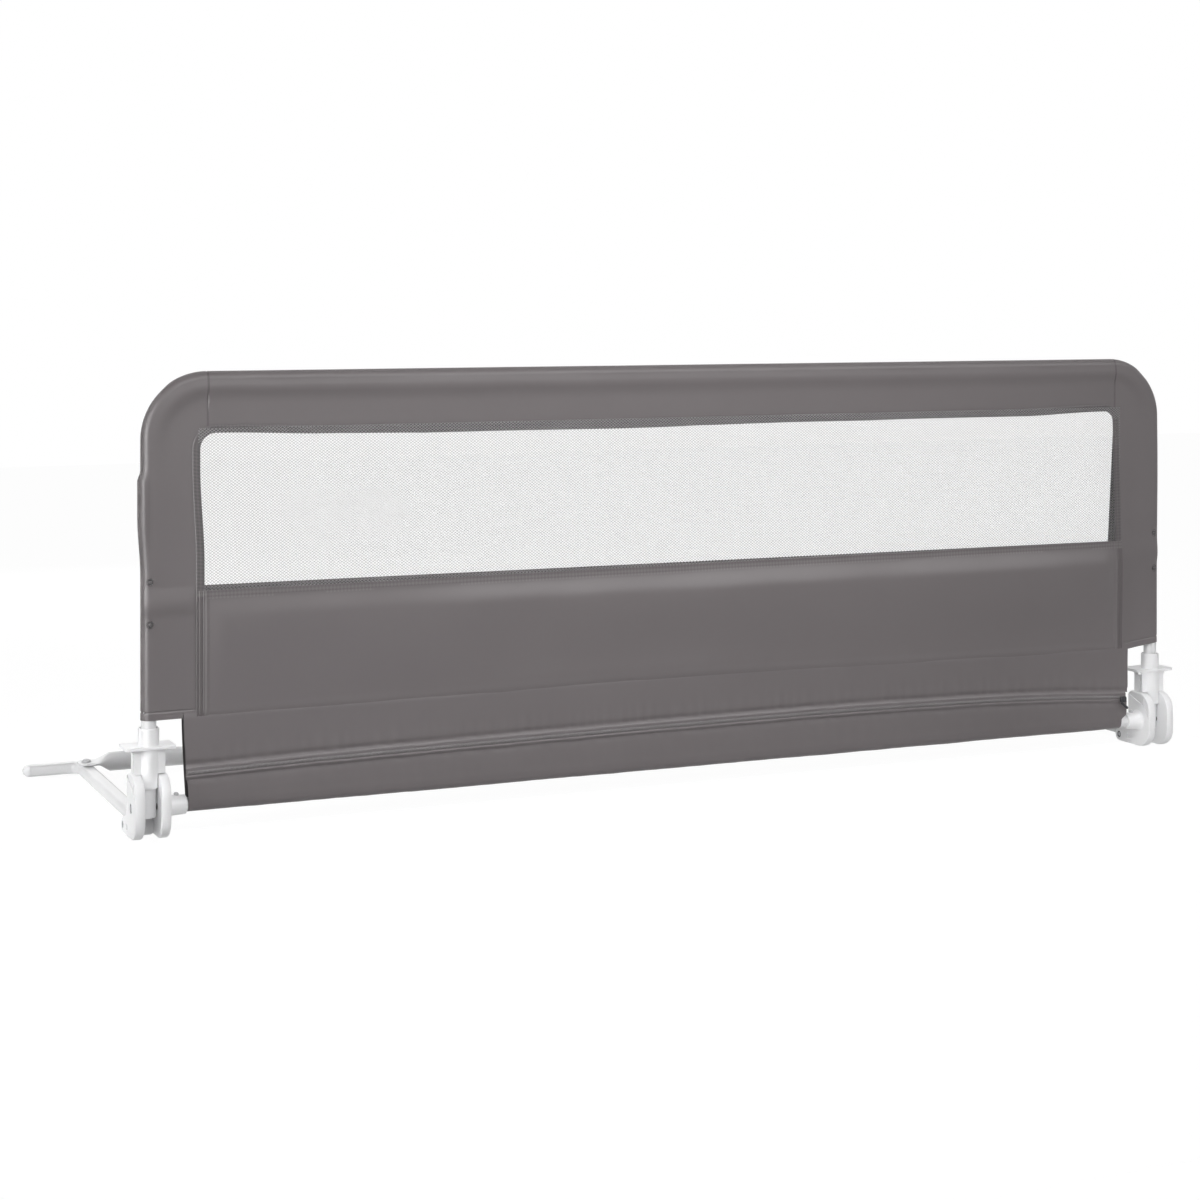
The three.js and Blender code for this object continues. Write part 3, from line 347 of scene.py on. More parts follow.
def solid_material(name, colour, roughness, metallic=0.0, grain=600.0, bump=0.0001, contrast=0.05, coat=0.0,
                   rim=None):
    """Plastic, paint or metal: a fine grain, and a faint drift in tone or, where rim is given, a painted shadow
    ring of that colour round the rim.
    """
    material, tree, shader = new_material(name)
    place = node(tree, "ShaderNodeTexCoord")
    skin = speckle(tree, place, grain, 3.0, 0.55)
    # rim is a dark colour painted round the edge as the shadow of a washer
    if rim:
        tone = shade_between(tree, shadow_ring_mask(tree, place), linear(colour), linear(rim))
    else:
        tone = shade_between(tree, speckle(tree, place, 14.0, 4.0, 0.6), *shades(colour, contrast))
    tree.links.new(tone, shader.inputs["Base Color"])
    tree.links.new(scaled(tree, skin, 0.16, roughness - 0.08), shader.inputs["Roughness"])
    add_relief(tree, shader, skin, 0.3, bump)
    set_inputs(shader, {"Metallic": metallic, "Coat Weight": coat, "Coat Roughness": 0.2})
    return material


GREY_CLOTH = cloth_material("grey_cloth", (106, 101, 102))
EDGE_CLOTH = cloth_material("edge_cloth", (93, 89, 90), pitch=COARSE_PITCH, lattice=0.3)
HEM_CLOTH = cloth_material("hem_cloth", (108, 103, 104), pitch=COARSE_PITCH, lattice=0.22)
STRIP_CLOTH = cloth_material("strip_cloth", (89, 84, 85), pitch=COARSE_PITCH)
NET_HEM = cloth_material("net_hem", (118, 114, 115), lattice=0.75, light_lattice=True)
FOLD_CLOTH = cloth_material("fold_cloth", (109, 104, 105), roughness=0.42)
# The zipper's tape and teeth are lighter than the cloth: partly their own tone, partly painted light that lifts
# the shade in the zipper's gap
TAPE_CLOTH_PAINTED_LIGHT = cloth_material("tape_cloth_painted_light", (114, 110, 111), pitch=TAPE_PITCH, contrast=0.08, ribs=True)
THREAD = solid_material("thread", (78, 74, 75), 0.7, grain=1800.0, contrast=0.15)
NET_THREAD = solid_material("net_thread", (176, 175, 176), 0.6, grain=2400.0, contrast=0.1)
TEETH = solid_material("zipper_teeth", (124, 120, 121), 0.4, grain=900.0, contrast=0.08)
WHITE_PLASTIC = solid_material("white_plastic", (237, 237, 238), 0.42, grain=260.0, bump=FINE_BUMP,
                               contrast=0.012)
# The arm plugs' grey is partly their own tone and partly painted shade, darker than the white plastic for the
# shade they sit in
PLUG_PLASTIC_PAINTED_SHADE = solid_material("plug_plastic_painted_shade", (206, 206, 207), 0.5, grain=260.0, contrast=0.02)
PAINT = dict(roughness=0.36, grain=420.0, bump=0.00006, contrast=0.02, coat=0.3)
ARM_PAINT = solid_material("arm_paint", (214, 214, 215), **PAINT)
TUBE_PAINT = solid_material("tube_paint", (221, 221, 222), **PAINT)
PALE_STEEL = solid_material("pale_steel", (196, 196, 198), 0.4, metallic=0.2)
ZINC = solid_material("zinc_steel", (168, 169, 172), 0.34, metallic=0.6, contrast=0.08)
DARK_STEEL = solid_material("dark_steel", (58, 58, 61), 0.4, metallic=0.7, contrast=0.1)
BUTTON = solid_material("button_steel", (72, 69, 70), 0.5, metallic=0.2, contrast=0.1)
# The rivets' dark rim is a painted shadow ring round each head
RIVET_SHADOW_RING = solid_material("rivet_steel_painted_shadow", (176, 176, 178), 0.4, metallic=0.3, rim=(62, 62, 64))
SPRING = solid_material("spring_steel", (160, 162, 166), 0.28, metallic=1.0, grain=900.0)

NODE_MATERIALS = [
    (("arm_plug",), PLUG_PLASTIC_PAINTED_SHADE),
    (("arm_rivet", "pivot_pin"), RIVET_SHADOW_RING),
    (("post_button",), BUTTON),
    (("low_button", "crossbar_screw"), PALE_STEEL),
    (("post_joiner", "crossbar_joiner"), ZINC),
    (("low_tube", "post_l", "post_r", "corner_tube", "top_tube"), TUBE_PAINT),
    (("arm", "foot_cap", "crossbar_l", "crossbar_r"), ARM_PAINT),
    (("cheek", "slider"), WHITE_PLASTIC),
    (("release_spring",), SPRING),
]


def smoothing_group():
    """Joins the facets' corners and smooths the shading, but keeps edges sharper than FACET_ANGLE."""
    group = bpy.data.node_groups.new("smooth_shading", "GeometryNodeTree")
    for side in ("INPUT", "OUTPUT"):
        group.interface.new_socket("Geometry", in_out=side, socket_type="NodeSocketGeometry")
    start, end = node(group, "NodeGroupInput"), node(group, "NodeGroupOutput")
    merge = node(group, "GeometryNodeMergeByDistance", Distance=0.00001)
    faces = node(group, "GeometryNodeSetShadeSmooth", domain="FACE")
    edges = node(group, "GeometryNodeSetShadeSmooth", domain="EDGE")
    set_inputs(edges, {"Shade Smooth": False})
    angle = node(group, "GeometryNodeInputMeshEdgeAngle")
    sharp = node(group, "FunctionNodeCompare", operation="GREATER_THAN")
    sharp.inputs[1].default_value = math.radians(FACET_ANGLE)
    link = group.links.new
    link(start.outputs[0], merge.inputs["Geometry"])
    link(merge.outputs[0], faces.inputs["Geometry"])
    link(faces.outputs[0], edges.inputs["Geometry"])
    link(angle.outputs[0], sharp.inputs[0])
    link(sharp.outputs[0], edges.inputs["Selection"])
    link(edges.outputs[0], end.inputs[0])
    return group


def dress_cad_nodes():
    """Gives each CAD solid its material, by the start of its name, and smooth shading."""
    group = smoothing_group()
    for name, thing in nodes.items():
        material = ZINC
        for starts, choice in NODE_MATERIALS:
            if name.startswith(starts):
                material = choice
                break
        thing.data.materials.clear()
        thing.data.materials.append(material)
        modifier = thing.modifiers.new("smooth shading", "NODES")
        modifier.node_group = group


# The bent rail's line and the window's outline beside it
STRAIGHT = RAIL_Z - BEND - SLEEVE_Z
ARC = BEND * math.pi / 2
TOP = 2 * (POST_X - BEND)
RAIL_LENGTH = 2 * STRAIGHT + 2 * ARC + TOP
FINE_END = 16.0


def rail_stations():
    """Distances along the rail, closer together at the hems and in the bends."""
    limits = (0, FINE_END, STRAIGHT, STRAIGHT + ARC, STRAIGHT + ARC + TOP, RAIL_LENGTH - STRAIGHT,
              RAIL_LENGTH - FINE_END, RAIL_LENGTH)
    counts = (30, 80, 36, 300, 36, 80, 30)
    parts = [np.linspace(low, high, count)[:-1] for low, high, count in zip(limits, limits[1:], counts)]
    return np.append(np.concatenate(parts), RAIL_LENGTH)


def rail_line(s):
    """Points on the rail's axis and unit directions towards the window, both as x and z."""
    half = RAIL_LENGTH / 2
    side = np.where(s < half, -1.0, 1.0)
    t = np.where(s < half, s, RAIL_LENGTH - s)
    turn = np.clip((t - STRAIGHT) / ARC, 0, 1) * math.pi / 2
    x = POST_X - BEND + BEND * np.cos(turn)
    x = x - np.maximum(t - STRAIGHT - ARC, 0)
    z = np.where(t < STRAIGHT, SLEEVE_Z + t, RAIL_Z - BEND + BEND * np.sin(turn))
    return np.stack([side * x, z], 1), np.stack([-side * np.cos(turn), -np.sin(turn)], 1)


# How far the window's upper edge sags in the photo: places along x, then millimetres
TOP_SAG = (
    (-550, -490, -434, -381, -327, -272, -217, -160, -45, 13, 73, 133, 194, 256, 319, 383, 448, 513, 560),
    (0.0, 0.8, 2.5, 4.4, 4.9, 4.8, 4.4, 3.9, 3.2, 2.5, 1.4, 1.1, 2.1, 3.1, 2.8, 2.2, 1.2, 0.7, 0.0),
)


def window_line(s, inset_low, inset_high, corner, dip=0.0):
    """The window's outline beside each rail station; insets and corner are each given as left and right."""
    half = RAIL_LENGTH / 2
    left = s < half
    t = np.where(left, s, RAIL_LENGTH - s)
    corner = np.where(left, corner[0], corner[1])
    turn = np.clip((t - STRAIGHT) / ARC, 0, 1) * math.pi / 2
    share = np.clip(t / STRAIGHT, 0, 1)
    z = SLEEVE_Z + share * (WINDOW_TOP - corner - SLEEVE_Z)
    low = np.where(left, inset_low[0], inset_low[1])
    high = np.where(left, inset_high[0], inset_high[1])
    inset = low + (high - low) * np.where(left, smooth((z - 325) / 115), np.clip((z - 295) / 165, 0, 1.05))
    x = POST_X - inset - corner + corner * np.cos(turn)
    run = np.clip((t - STRAIGHT - ARC) / (half - STRAIGHT - ARC), 0, 1)
    x = x * (1 - run)
    z = np.where(t < STRAIGHT, z, WINDOW_TOP - corner + corner * np.sin(turn))
    z = z - dip * smooth(run * 5) * (1 + 0.5 * np.sin(9 * run))
    x = np.where(left, -x, x)
    z = z - smooth(run * 20) * np.interp(x, *TOP_SAG)
    return np.stack([x, z], 1)


def sleeve_relief(points, turn):
    """How far the sleeve's cloth stands off its even form, outwards."""
    x, y, z = points[..., 0], points[..., 1], points[..., 2]
    outward, forward = np.sin(turn), np.cos(turn)
    left, right = x < -POST_X + 12, x > POST_X - 12
    waves = 0.55 * ripple(x, 2 * y, z, 95, 1) + 0.22 * ripple(x, 2 * y, z, 34, 2)
    outside = smooth(outward * 2.5)
    relief = waves * (1 - outside) + 0.18 * (1 + waves) * outside
    crown = 1.35 * outward * smooth((z - RAIL_Z + 14) / 14)
    slack = 3.6 * left * between(z, 312, 70, 437, 12) * smooth(outward * 1.4)
    crease = 0.7 * left * hump(turn, math.radians(52), 0.10) * smooth((322 - z) / 8)
    bulge = 1.1 * right * hump(z, 400, 90) * smooth(outward * 1.4)
    roll = np.where(x < 0, 2.1, 1.05) * between(z, 262, 13, 301, 21) * smooth((forward - 0.2) / 0.6)
    hem_line = 0.8 * hump(z, SLEEVE_Z + 9.5, 1.1)
    return relief + crown + slack - crease + bulge + roll - hem_line


# Columns of the cover's frame, as shares of the way from the rail to the window, and numbers of materials
FRONT_SHARES = (1.0, 0.985, 0.955, 0.925, 0.895, 0.87, 0.852, 0.846, 0.838, 0.81, 0.76, 0.70, 0.63,
                0.56, 0.49, 0.42, 0.35, 0.28, 0.21, 0.14, 0.07, 0.0)
ROUND_STEPS = 20
BACK_SHARES = (0.0, 0.07, 0.16, 0.26, 0.38, 0.5, 0.62, 0.74, 0.83, 0.846, 0.852, 0.88, 0.94, 1.0)
EDGE_SHARE = 0.849
GREY, EDGE, STRIP, HEM = range(4)


def frame_grid():
    """Points of the cover's frame along the rail and round it, and each column's share and turn."""
    s = rail_stations()
    axis, inward = rail_line(s)
    # Insets of the window's sides, low and high, and radii of its corners, each as left and right
    front = window_line(s, (65.5, 65.5), (60.3, 70.3), (20.0, 13.0), 2.2)
    back = window_line(s, (63.0, 66.8), (63.0, 57.6), (13.0, 13.0))
    level = -inward[:, 1]
    columns, turns, shares = [], [], []

    def add_column(place, y, turn, share):
        columns.append(np.stack([place[:, 0], np.broadcast_to(y, len(s)), place[:, 1]], 1))
        turns.append(turn)
        shares.append(share)

    def add_flat(window, share, face):
        place = axis + (window - axis) * share
        below = share * BORDER
        top = 1.5 * hump(below, 9, 6.5) - 1.7 * smooth((below - 4) / 20)
        side = -0.8 * smooth((below - 2) / 26)
        hem = 0.3 * smooth((share - EDGE_SHARE) / 0.006) - 0.35 * hump(share, EDGE_SHARE - 0.006, 0.006)
        depth = SLEEVE_RADIUS - 0.6 * smooth(below / 34) + level * top + (1 - level) * side + hem
        add_column(place, face * depth, 0.0 if face < 0 else math.pi, share)

    for share in FRONT_SHARES:
        add_flat(front, share, -1)
    for i in range(1, ROUND_STEPS):
        turn = math.pi * i / ROUND_STEPS
        place = axis - inward * SLEEVE_RADIUS * math.sin(turn)
        add_column(place, -SLEEVE_RADIUS * math.cos(turn), turn, 0.0)
    for share in BACK_SHARES:
        add_flat(back, share, 1)
    points = np.stack(columns, 1)
    turn = np.array(turns)[None, :]
    normal = np.zeros_like(points)
    normal[..., 0] = -inward[:, None, 0] * np.sin(turn)
    normal[..., 1] = -np.cos(turn)
    normal[..., 2] = -inward[:, None, 1] * np.sin(turn)
    relief = sleeve_relief(points, np.broadcast_to(turn, points.shape[:2]))
    relief = relief * (1 - 0.7 * smooth((np.array(shares) - 0.75) / 0.1))[None, :]
    points = points + normal * relief[..., None]
    near_end = np.clip((points[..., 0] - POST_X + 48) / 57, 0, 1)
    points[..., 2] += 8.0 * near_end * smooth((SLEEVE_Z + 45 - points[..., 2]) / 45)
    return points, np.array(shares), turn[0]


def sew_seam(thing, x):
    """A drawn-in seam line across the top band at x: deepest in front, faint over the rail; the darker strip
    cloth beside it is painted shade for the seam's groove.
    """
    z_low = WINDOW_TOP + 2
    bm = bmesh.new()
    bm.from_mesh(thing.data)
    for shift in (-SEAM_WIDTH, 0.0, SEAM_WIDTH):
        geometry = [f for f in bm.faces if f.calc_center_median().z > z_low * MM]
        edges = {e for f in geometry for e in f.edges}
        corners = {v for f in geometry for v in f.verts}
        bmesh.ops.bisect_plane(bm, geom=[*geometry, *edges, *corners], dist=1e-7,
                               plane_co=((x + shift) * MM, 0, 0), plane_no=(1, 0, 0))
    bm.normal_update()
    for face in bm.faces:
        # Faces beside the seam get the darker strip cloth: painted shade for the seam's groove
        centre = face.calc_center_median()
        beside = abs(centre.x - x * MM) < SEAM_WIDTH * MM
        if beside and centre.z > z_low * MM and face.material_index == GREY:
            face.material_index = STRIP
    for v in bm.verts:
        if abs(v.co.x - x * MM) < 0.3 * SEAM_WIDTH * MM and v.co.z > z_low * MM:
            centre = Vector((v.co.x, AXIS_Y, (RAIL_Z - 20) * MM))
            outward = v.co - centre
            outward.x = 0
            outward.normalize()
            fade = float(smooth((v.co.z / MM - z_low - 2) / 14)) * (1 - 0.65 * max(0.0, outward.z))
            v.co -= outward * SEAM_DEPTH * fade * MM
    bm.to_mesh(thing.data)
    bm.free()


def cut_eyelets(thing):
    """Round holes for the spring buttons in the front of both sleeves."""
    for side in (-1, 1):
        for z in EYELET_Z:
            bpy.ops.mesh.primitive_cylinder_add(vertices=28, radius=EYELET_RADIUS * MM, depth=12 * MM,
                                                location=to_frame([side * POST_X, -SLEEVE_RADIUS, z]),
                                                rotation=(math.pi / 2, 0, 0))
            cutter = bpy.context.object
            hole = thing.modifiers.new("eyelet", "BOOLEAN")
            hole.operation = "DIFFERENCE"
            hole.solver = "EXACT"
            hole.object = cutter
            bake_modifiers(thing)
            bpy.data.objects.remove(cutter)


def make_cover_frame():
    """The sleeve over the rail with its borders round the window, in front and behind."""
    points, shares, turns = frame_grid()
    pair = np.minimum(shares[:-1], shares[1:])
    below = points[:-1, :-1, 2] < WINDOW_BOTTOM - 6
    behind = np.broadcast_to(turns[:-1] > 3, below.shape)
    edge = np.where(below, STRIP, np.where(behind, HEM, EDGE))
    slots = np.where(pair > EDGE_SHARE - 0.004, edge, GREY).ravel()
    thing = cloth_mesh("cover_frame", [points], [GREY_CLOTH, EDGE_CLOTH, STRIP_CLOTH, NET_HEM], slots)
    sew_seam(thing, SEAM_LEFT)
    sew_seam(thing, SEAM_RIGHT)
    thicken(thing)
    cut_eyelets(thing)
    return finish_cloth(thing, "grey_cloth", "cover_top", "cover_side_left", "cover_side_right")


# Outline of the lower front panel, the flap and the zipper
def left_edge(z):
    """Places of the left end along x in front; it slants near the ground."""
    return -POST_X + 40 + 6 * smooth((SLEEVE_Z - z) / 110)


def back_left_edge(z):
    """The same for the left end behind."""
    return left_edge(z) + 0.4 + 1.4 * smooth((z - 60) / 75)


def right_edge(z):
    """The same for the right end, in front and behind."""
    return POST_X - 46 - 1.5 * smooth((85 - z) / 35) - 8.5 * smooth((50 - z) / 9)


ZIP_STATIONS = (-679, -665, -587, -504, -414, -144, 20, 239, 462, 612, 655, 677)
ZIP_HEIGHTS = (74.6, 75.9, 78.5, 79.8, 81.3, 84.6, 85.9, 86.8, 83.6, 77.9, 73.8, 71.4)


def zip_height(x):
    """The zipper's line as photographed, in gentle waves."""
    rough = np.interp(x, ZIP_STATIONS, ZIP_HEIGHTS)
    near = sum(np.interp(x + shift, ZIP_STATIONS, ZIP_HEIGHTS) for shift in (-60, -30, 30, 60))
    return (rough + near) / 5


def hem_height(x):
    """The window's lower edge in front, a little higher at the right."""
    return WINDOW_BOTTOM + 2.0 * x / POST_X


# How full the roll below the window is: places along x, then shares
ROLL_SWELL = (-620, -500, -330, -150, 100, 450, 650), (0.4, 0.52, 0.75, 1.1, 1.35, 1.5, 1.35)


def panel_relief(x, z):
    """How far the front panel bows towards the room, most of all in a soft roll below the window."""
    edge = between(x, BORDER - POST_X, 26, POST_X - BORDER, 26)
    below = hem_height(x) - z
    swell = np.interp(x, *ROLL_SWELL) * (1 + 0.10 * np.sin(x / 61) + 0.07 * np.sin(x / 27 + 1))
    roll = 6.0 * swell * smooth((below - 3) / 31) * (1 - 0.9 * smooth((below - 34) / 112))
    slack = 0.9 * hump(z, 163, 13) * between(x, -330, 120, 210, 240)
    waves = 0.9 * ripple(x * 0.45, 0, z * 1.3, 80, 4) + 0.3 * ripple(x, 0, z, 42, 5)
    return (roll + slack + waves * smooth(below / 30)) * (0.25 + 0.75 * edge)


def crease_height(x):
    """The line where the front panel's upper part is sewn over its lower part."""
    return CREASE_Z + 5.5 * hump(x, 0, 330)


def along_panel(share):
    """Rough places along x, before the sheet is fitted between its slanting ends."""
    return -POST_X + 45 + 1350 * share


def hem_wander(x):
    """How far the front panel's top hem wanders up and down."""
    return 0.7 * ripple(x, 0, 0 * x, 120, 8)


def panel_columns():
    """Places along x, closer together where lines are sewn down the sides."""
    fine = 16
    edge = np.linspace(0, fine, 33)
    middle = np.linspace(-PANEL_SIDE + fine, PANEL_SIDE - fine, 300)[1:-1]
    return np.concatenate([-PANEL_SIDE + edge, middle, PANEL_SIDE - edge[::-1]])


def side_strip(x):
    """How deep the lines sewn down both sides draw the upper panel in."""
    inset = PANEL_SIDE - abs(x)
    lines = sum(hump(inset, place, 0.55) for place in (2.2, 7.6, 10.2))
    return 0.65 * lines - 0.75 * (1 - smooth((inset - 11) / 5))


def upper_panel_grid():
    """The front panel from the window's lower edge to the crease."""
    x = panel_columns()
    share = np.concatenate([[0, 0.012, 0.03, 0.05, 0.07, 0.09], np.linspace(0.12, 1, 40)])
    grid_x, grid_t = np.meshgrid(x, share, indexing="ij")
    low = crease_height(grid_x) - 3
    top = hem_height(grid_x) + hem_wander(grid_x)
    z = top + (low - top) * grid_t
    y = -(PANEL_DEPTH + panel_relief(grid_x, z))
    y = y - 0.3 * smooth((z - (top - 8)) / 0.8)
    y = y + side_strip(grid_x)
    above = z - crease_height(grid_x)
    y = y - (0.25 + 0.3 * smooth((grid_x + 80) / 300)) * smooth((9 - above) / 7)
    y = y + 1.3 * smooth((1.2 - above) / 3.0)
    return np.stack([grid_x, y, z], 2)


def lower_panel_grid():
    """The front panel from the crease to the zipper."""
    share = np.linspace(0, 1, 340)
    down = np.concatenate([[0, 0.03, 0.06], np.linspace(0.1, 0.8, 16), np.linspace(0.84, 1, 8)])
    grid_s, grid_t = np.meshgrid(share, down, indexing="ij")
    rough_x = along_panel(grid_s)
    top = crease_height(rough_x) + 4
    bottom = zip_height(rough_x) + 6.5
    z = top + (bottom - top) * grid_t
    x = left_edge(z) + (right_edge(z) - left_edge(z)) * grid_s
    tuck = smooth((z - crease_height(x) + 3) / 5)
    from_left, from_right = x - left_edge(z), right_edge(z) - x
    hem = smooth((from_left - 5.2) / 0.9) * smooth((from_right - 5.2) / 0.9)
    y = -(9.75 + 0.7 * ripple(x * 0.5, 0, z * 1.2, 60, 6) + 0.25 * ripple(x, 0, z, 30, 7))
    y = y + 1.1 * tuck + 0.4 * hem + 0.6 * hump(from_left, 4.4, 0.6)
    above = z - zip_height(x)
    pucker = 1.1 * ripple(x * 3.2, 0, z * 0.3, 26, 9)
    y = y + (1.7 + pucker) * hump(above, 10.0, 3.5) + 0.55 * pucker * hump(above, 19, 12)
    return np.stack([x, y, z], 2)


def make_front_panel():
    """The front panel in two layers that meet in the crease."""
    upper, lower = upper_panel_grid(), lower_panel_grid()
    hem = hem_height(upper[:-1, :-1, 0]) - upper[:-1, :-1, 2] < FRONT_HEM
    strip = PANEL_SIDE - abs(upper[:-1, :-1, 0]) < SIDE_HEM
    slots = np.where(hem, 1, np.where(strip, 2, 0)).ravel()
    slots = np.concatenate([slots, np.zeros(face_count(lower), int)])
    thing = cloth_mesh("front_panel", [upper, lower], [GREY_CLOTH, HEM_CLOTH, STRIP_CLOTH], slots)
    thicken(thing)
    return finish_cloth(thing, "grey_cloth", "cover_front")


def make_back_panel():
    """The plain panel behind, from the window's lower edge to the flap."""
    hem_end = BACK_BOTTOM - BACK_HEM
    x = np.linspace(-PANEL_SIDE, PANEL_SIDE, 300)
    z = np.append(BACK_BOTTOM - np.array([0, 2, 8]), np.linspace(BACK_BOTTOM - 9, 141, 34))
    grid_x, grid_z = np.meshgrid(x, z, indexing="ij")
    edge = smooth((POST_X - BORDER - abs(grid_x)) / 30)
    waves = 0.8 * ripple(grid_x * 0.5, 0, grid_z, 85, 11) + 0.3 * ripple(grid_x, 0, grid_z, 38, 12)
    y = 9.2 + waves * edge + 0.35 * (grid_z > hem_end)
    hem = np.broadcast_to((z[:-1] > hem_end).astype(int), (len(x) - 1, len(z) - 1)).ravel()
    grid_z = grid_z - 1.4 * grid_x / POST_X * smooth((grid_z - 240) / 40)
    thing = cloth_mesh("back_panel", [np.stack([grid_x, y, grid_z], 2)], [GREY_CLOTH, NET_HEM], hem)
    thicken(thing)
    return finish_cloth(thing, "grey_cloth", "cover_back")


def flap_profile():
    """The rows of the flap's loop, from the zipper round the low tube and up behind: each row's depth, share of
    the rise (below zero behind) and drop, and its outward direction."""
    points, outward = [], []
    for t in np.linspace(0, 1, 14)[:-1]:
        points.append((-(9.3 - 0.3 * t), 1 - t, 0.0))
        outward.append((-1.0, 0.0))
    for i in range(15):
        turn = math.pi * i / 14
        points.append((-FLAP_RADIUS * math.cos(turn), 0.0, -FLAP_RADIUS * math.sin(turn)))
        outward.append((-math.cos(turn), -math.sin(turn)))
    for t in np.linspace(0, 1, 24)[1:]:
        points.append((FLAP_RADIUS + 0.2 * t, -t, 0.0))
        outward.append((1.0, 0.0))
    return points, outward


def make_flap():
    """The flap that hangs in a loop round the low tube."""
    share = np.linspace(0, 1, 340)
    profile, outward = flap_profile()
    rows = []
    for (y, rise, drop), (out_y, out_z) in zip(profile, outward):
        top = zip_height(along_panel(share)) - 6.0 if rise > 0 else FLAP_TOP
        z = PIVOT_Z + drop + abs(rise) * (top - PIVOT_Z)
        behind = 0.5 + 0.5 * np.clip(y / FLAP_RADIUS, -1, 1)
        left = left_edge(z) + (back_left_edge(z) - left_edge(z)) * behind
        x = left + (right_edge(z) - left) * share
        out = 0.6 * ripple(x * 0.6, y, z, 46, 13) + 0.25 * ripple(x * 1.6, y, z, 24, 14)
        if rise > 0:
            gap = zip_height(x) - z
            pucker = 0.9 + 0.9 * ripple(x * 2.8, 0, z * 0.3, 20, 15)
            low = smooth((66 - z) / 12)
            out = out - pucker * hump(gap, 8.5, 3.2) + 0.3 * smooth((gap - 12) / 16)
            out = out - 1.3 * hump(x - left_edge(z), 9.0, 1.3) * low
            out = out - 1.1 * hump(right_edge(z) - x, 7.0, 1.3) * low
        rows.append(np.stack([x, y + out_y * out, z + out_z * out], 1))
    thing = cloth_mesh("bottom_flap", [np.stack(rows, 1)], [GREY_CLOTH])
    thicken(thing)
    return finish_cloth(thing, "grey_cloth", "cover_flap")


# Zipper: two folded edges of cloth, with the tape and the teeth between them. The pairs are distances from the
# zipper's line and depths in front of the posts' axes.
PLACKET = ((8.2, 9.0), (7.4, 9.3), (6.8, 9.8), (6.2, 10.4), (5.6, 11.0), (5.0, 11.4), (4.3, 11.5),
           (3.7, 11.3), (3.2, 10.9), (3.0, 10.4), (3.3, 10.0))


def placket_grid(x, hand):
    """One folded edge: hand is 1 for the upper, flatter one and -1 for the lower one."""
    rows = []
    for v, depth in PLACKET:
        depth = depth if hand < 0 else 9.5 + (depth - 9.5) * 0.6
        wander = 0.45 * ripple(x, 0, 0 * x, 55, 16 + hand)
        swell = 0.3 * ripple(x * 1.4, 0, 0 * x + v, 30, 19 + hand)
        rows.append(np.stack([x, -(depth + swell), zip_height(x) + hand * v + wander], 1))
    return np.stack(rows, 1)


def make_zipper():
    """The zipper's cloth: two folded edges and the tape between them."""
    x = np.linspace(-POST_X + ZIP_LEFT - 3, POST_X - ZIP_RIGHT, 480)
    tape = np.stack([np.stack([x, 0 * x - TAPE_DEPTH, zip_height(x) + v], 1) for v in (-6, -2, 2, 6)], 1)
    grids = [placket_grid(x, 1), placket_grid(x, -1), tape]
    slots = np.repeat((0, 0, 1), [face_count(grid) for grid in grids])
    thing = cloth_mesh("zipper_placket", grids, [FOLD_CLOTH, TAPE_CLOTH_PAINTED_LIGHT], slots)
    thicken(thing)
    return finish_cloth(thing, "zipper_cloth", "zipper")


def bead_shape(length, width, height, sides=6):
    """Points and faces of one rounded bead along x: a tip, three rings and a tip."""
    points = [(-length / 2, 0.0, 0.0)]
    for share, girth in ((-0.36, 0.75), (0.0, 1.0), (0.36, 0.75)):
        for a in np.arange(sides) * 2 * math.pi / sides:
            y, z = math.cos(a) * girth * width / 2, math.sin(a) * girth * height / 2
            points.append((share * length, y, z))
    points.append((length / 2, 0.0, 0.0))
    tip, last = len(points) - 1, len(points) - 1 - sides
    after = [(i + 1) % sides for i in range(sides)]
    triangles = [(0, 1 + after[i], 1 + i) for i in range(sides)]
    triangles += [(tip, last + i, last + after[i]) for i in range(sides)]
    quads = [(a + i, a + after[i], a + sides + after[i], a + sides + i)
             for a in (1, 1 + sides) for i in range(sides)]
    return np.array(points), np.array(triangles), np.array(quads)


def beads(name, places, sizes, material):
    """Many small beads, such as stitches. Places are their centres and three directions, for the beads' length,
    width and height, and sizes are those three."""
    shape, triangles, quads = bead_shape(*sizes)
    centres, *axes = (np.asarray(v, float)[:, None, :] for v in places)
    points = centres + sum(shape[None, :, k:k + 1] * axis for k, axis in enumerate(axes))
    shift = len(shape) * np.arange(len(centres))[:, None, None]
    faces = [(kind[None] + shift).reshape(-1, kind.shape[1]).tolist() for kind in (triangles, quads)]
    thing = mesh_object(name, points.reshape(-1, 3), faces[0] + faces[1], [material])
    thing.data.shade_smooth()
    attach(thing, "guard")
    return thing


def stitch_rows(lines, pitch=3.1):
    """Places for stitches, as beads takes them, along lines of surface points with outward directions."""
    rows = []
    for line, normal in lines:
        step = np.linalg.norm(np.diff(line, axis=0), axis=1)
        distance = np.concatenate([[0], np.cumsum(step)])
        places = np.arange(pitch, distance[-1] - pitch, pitch)

        def along_line(values, where):
            return np.stack([np.interp(where, distance, values[:, k]) for k in range(3)], 1)

        centre = along_line(line, places)
        out = along_line(normal, places)
        direction = along_line(line, places + 0.5) - centre
        direction /= np.linalg.norm(direction, axis=1)[:, None]
        out /= np.linalg.norm(out, axis=1)[:, None]
        rows.append((centre, direction, np.cross(out, direction), out))
    return [np.concatenate(part) for part in zip(*rows)]


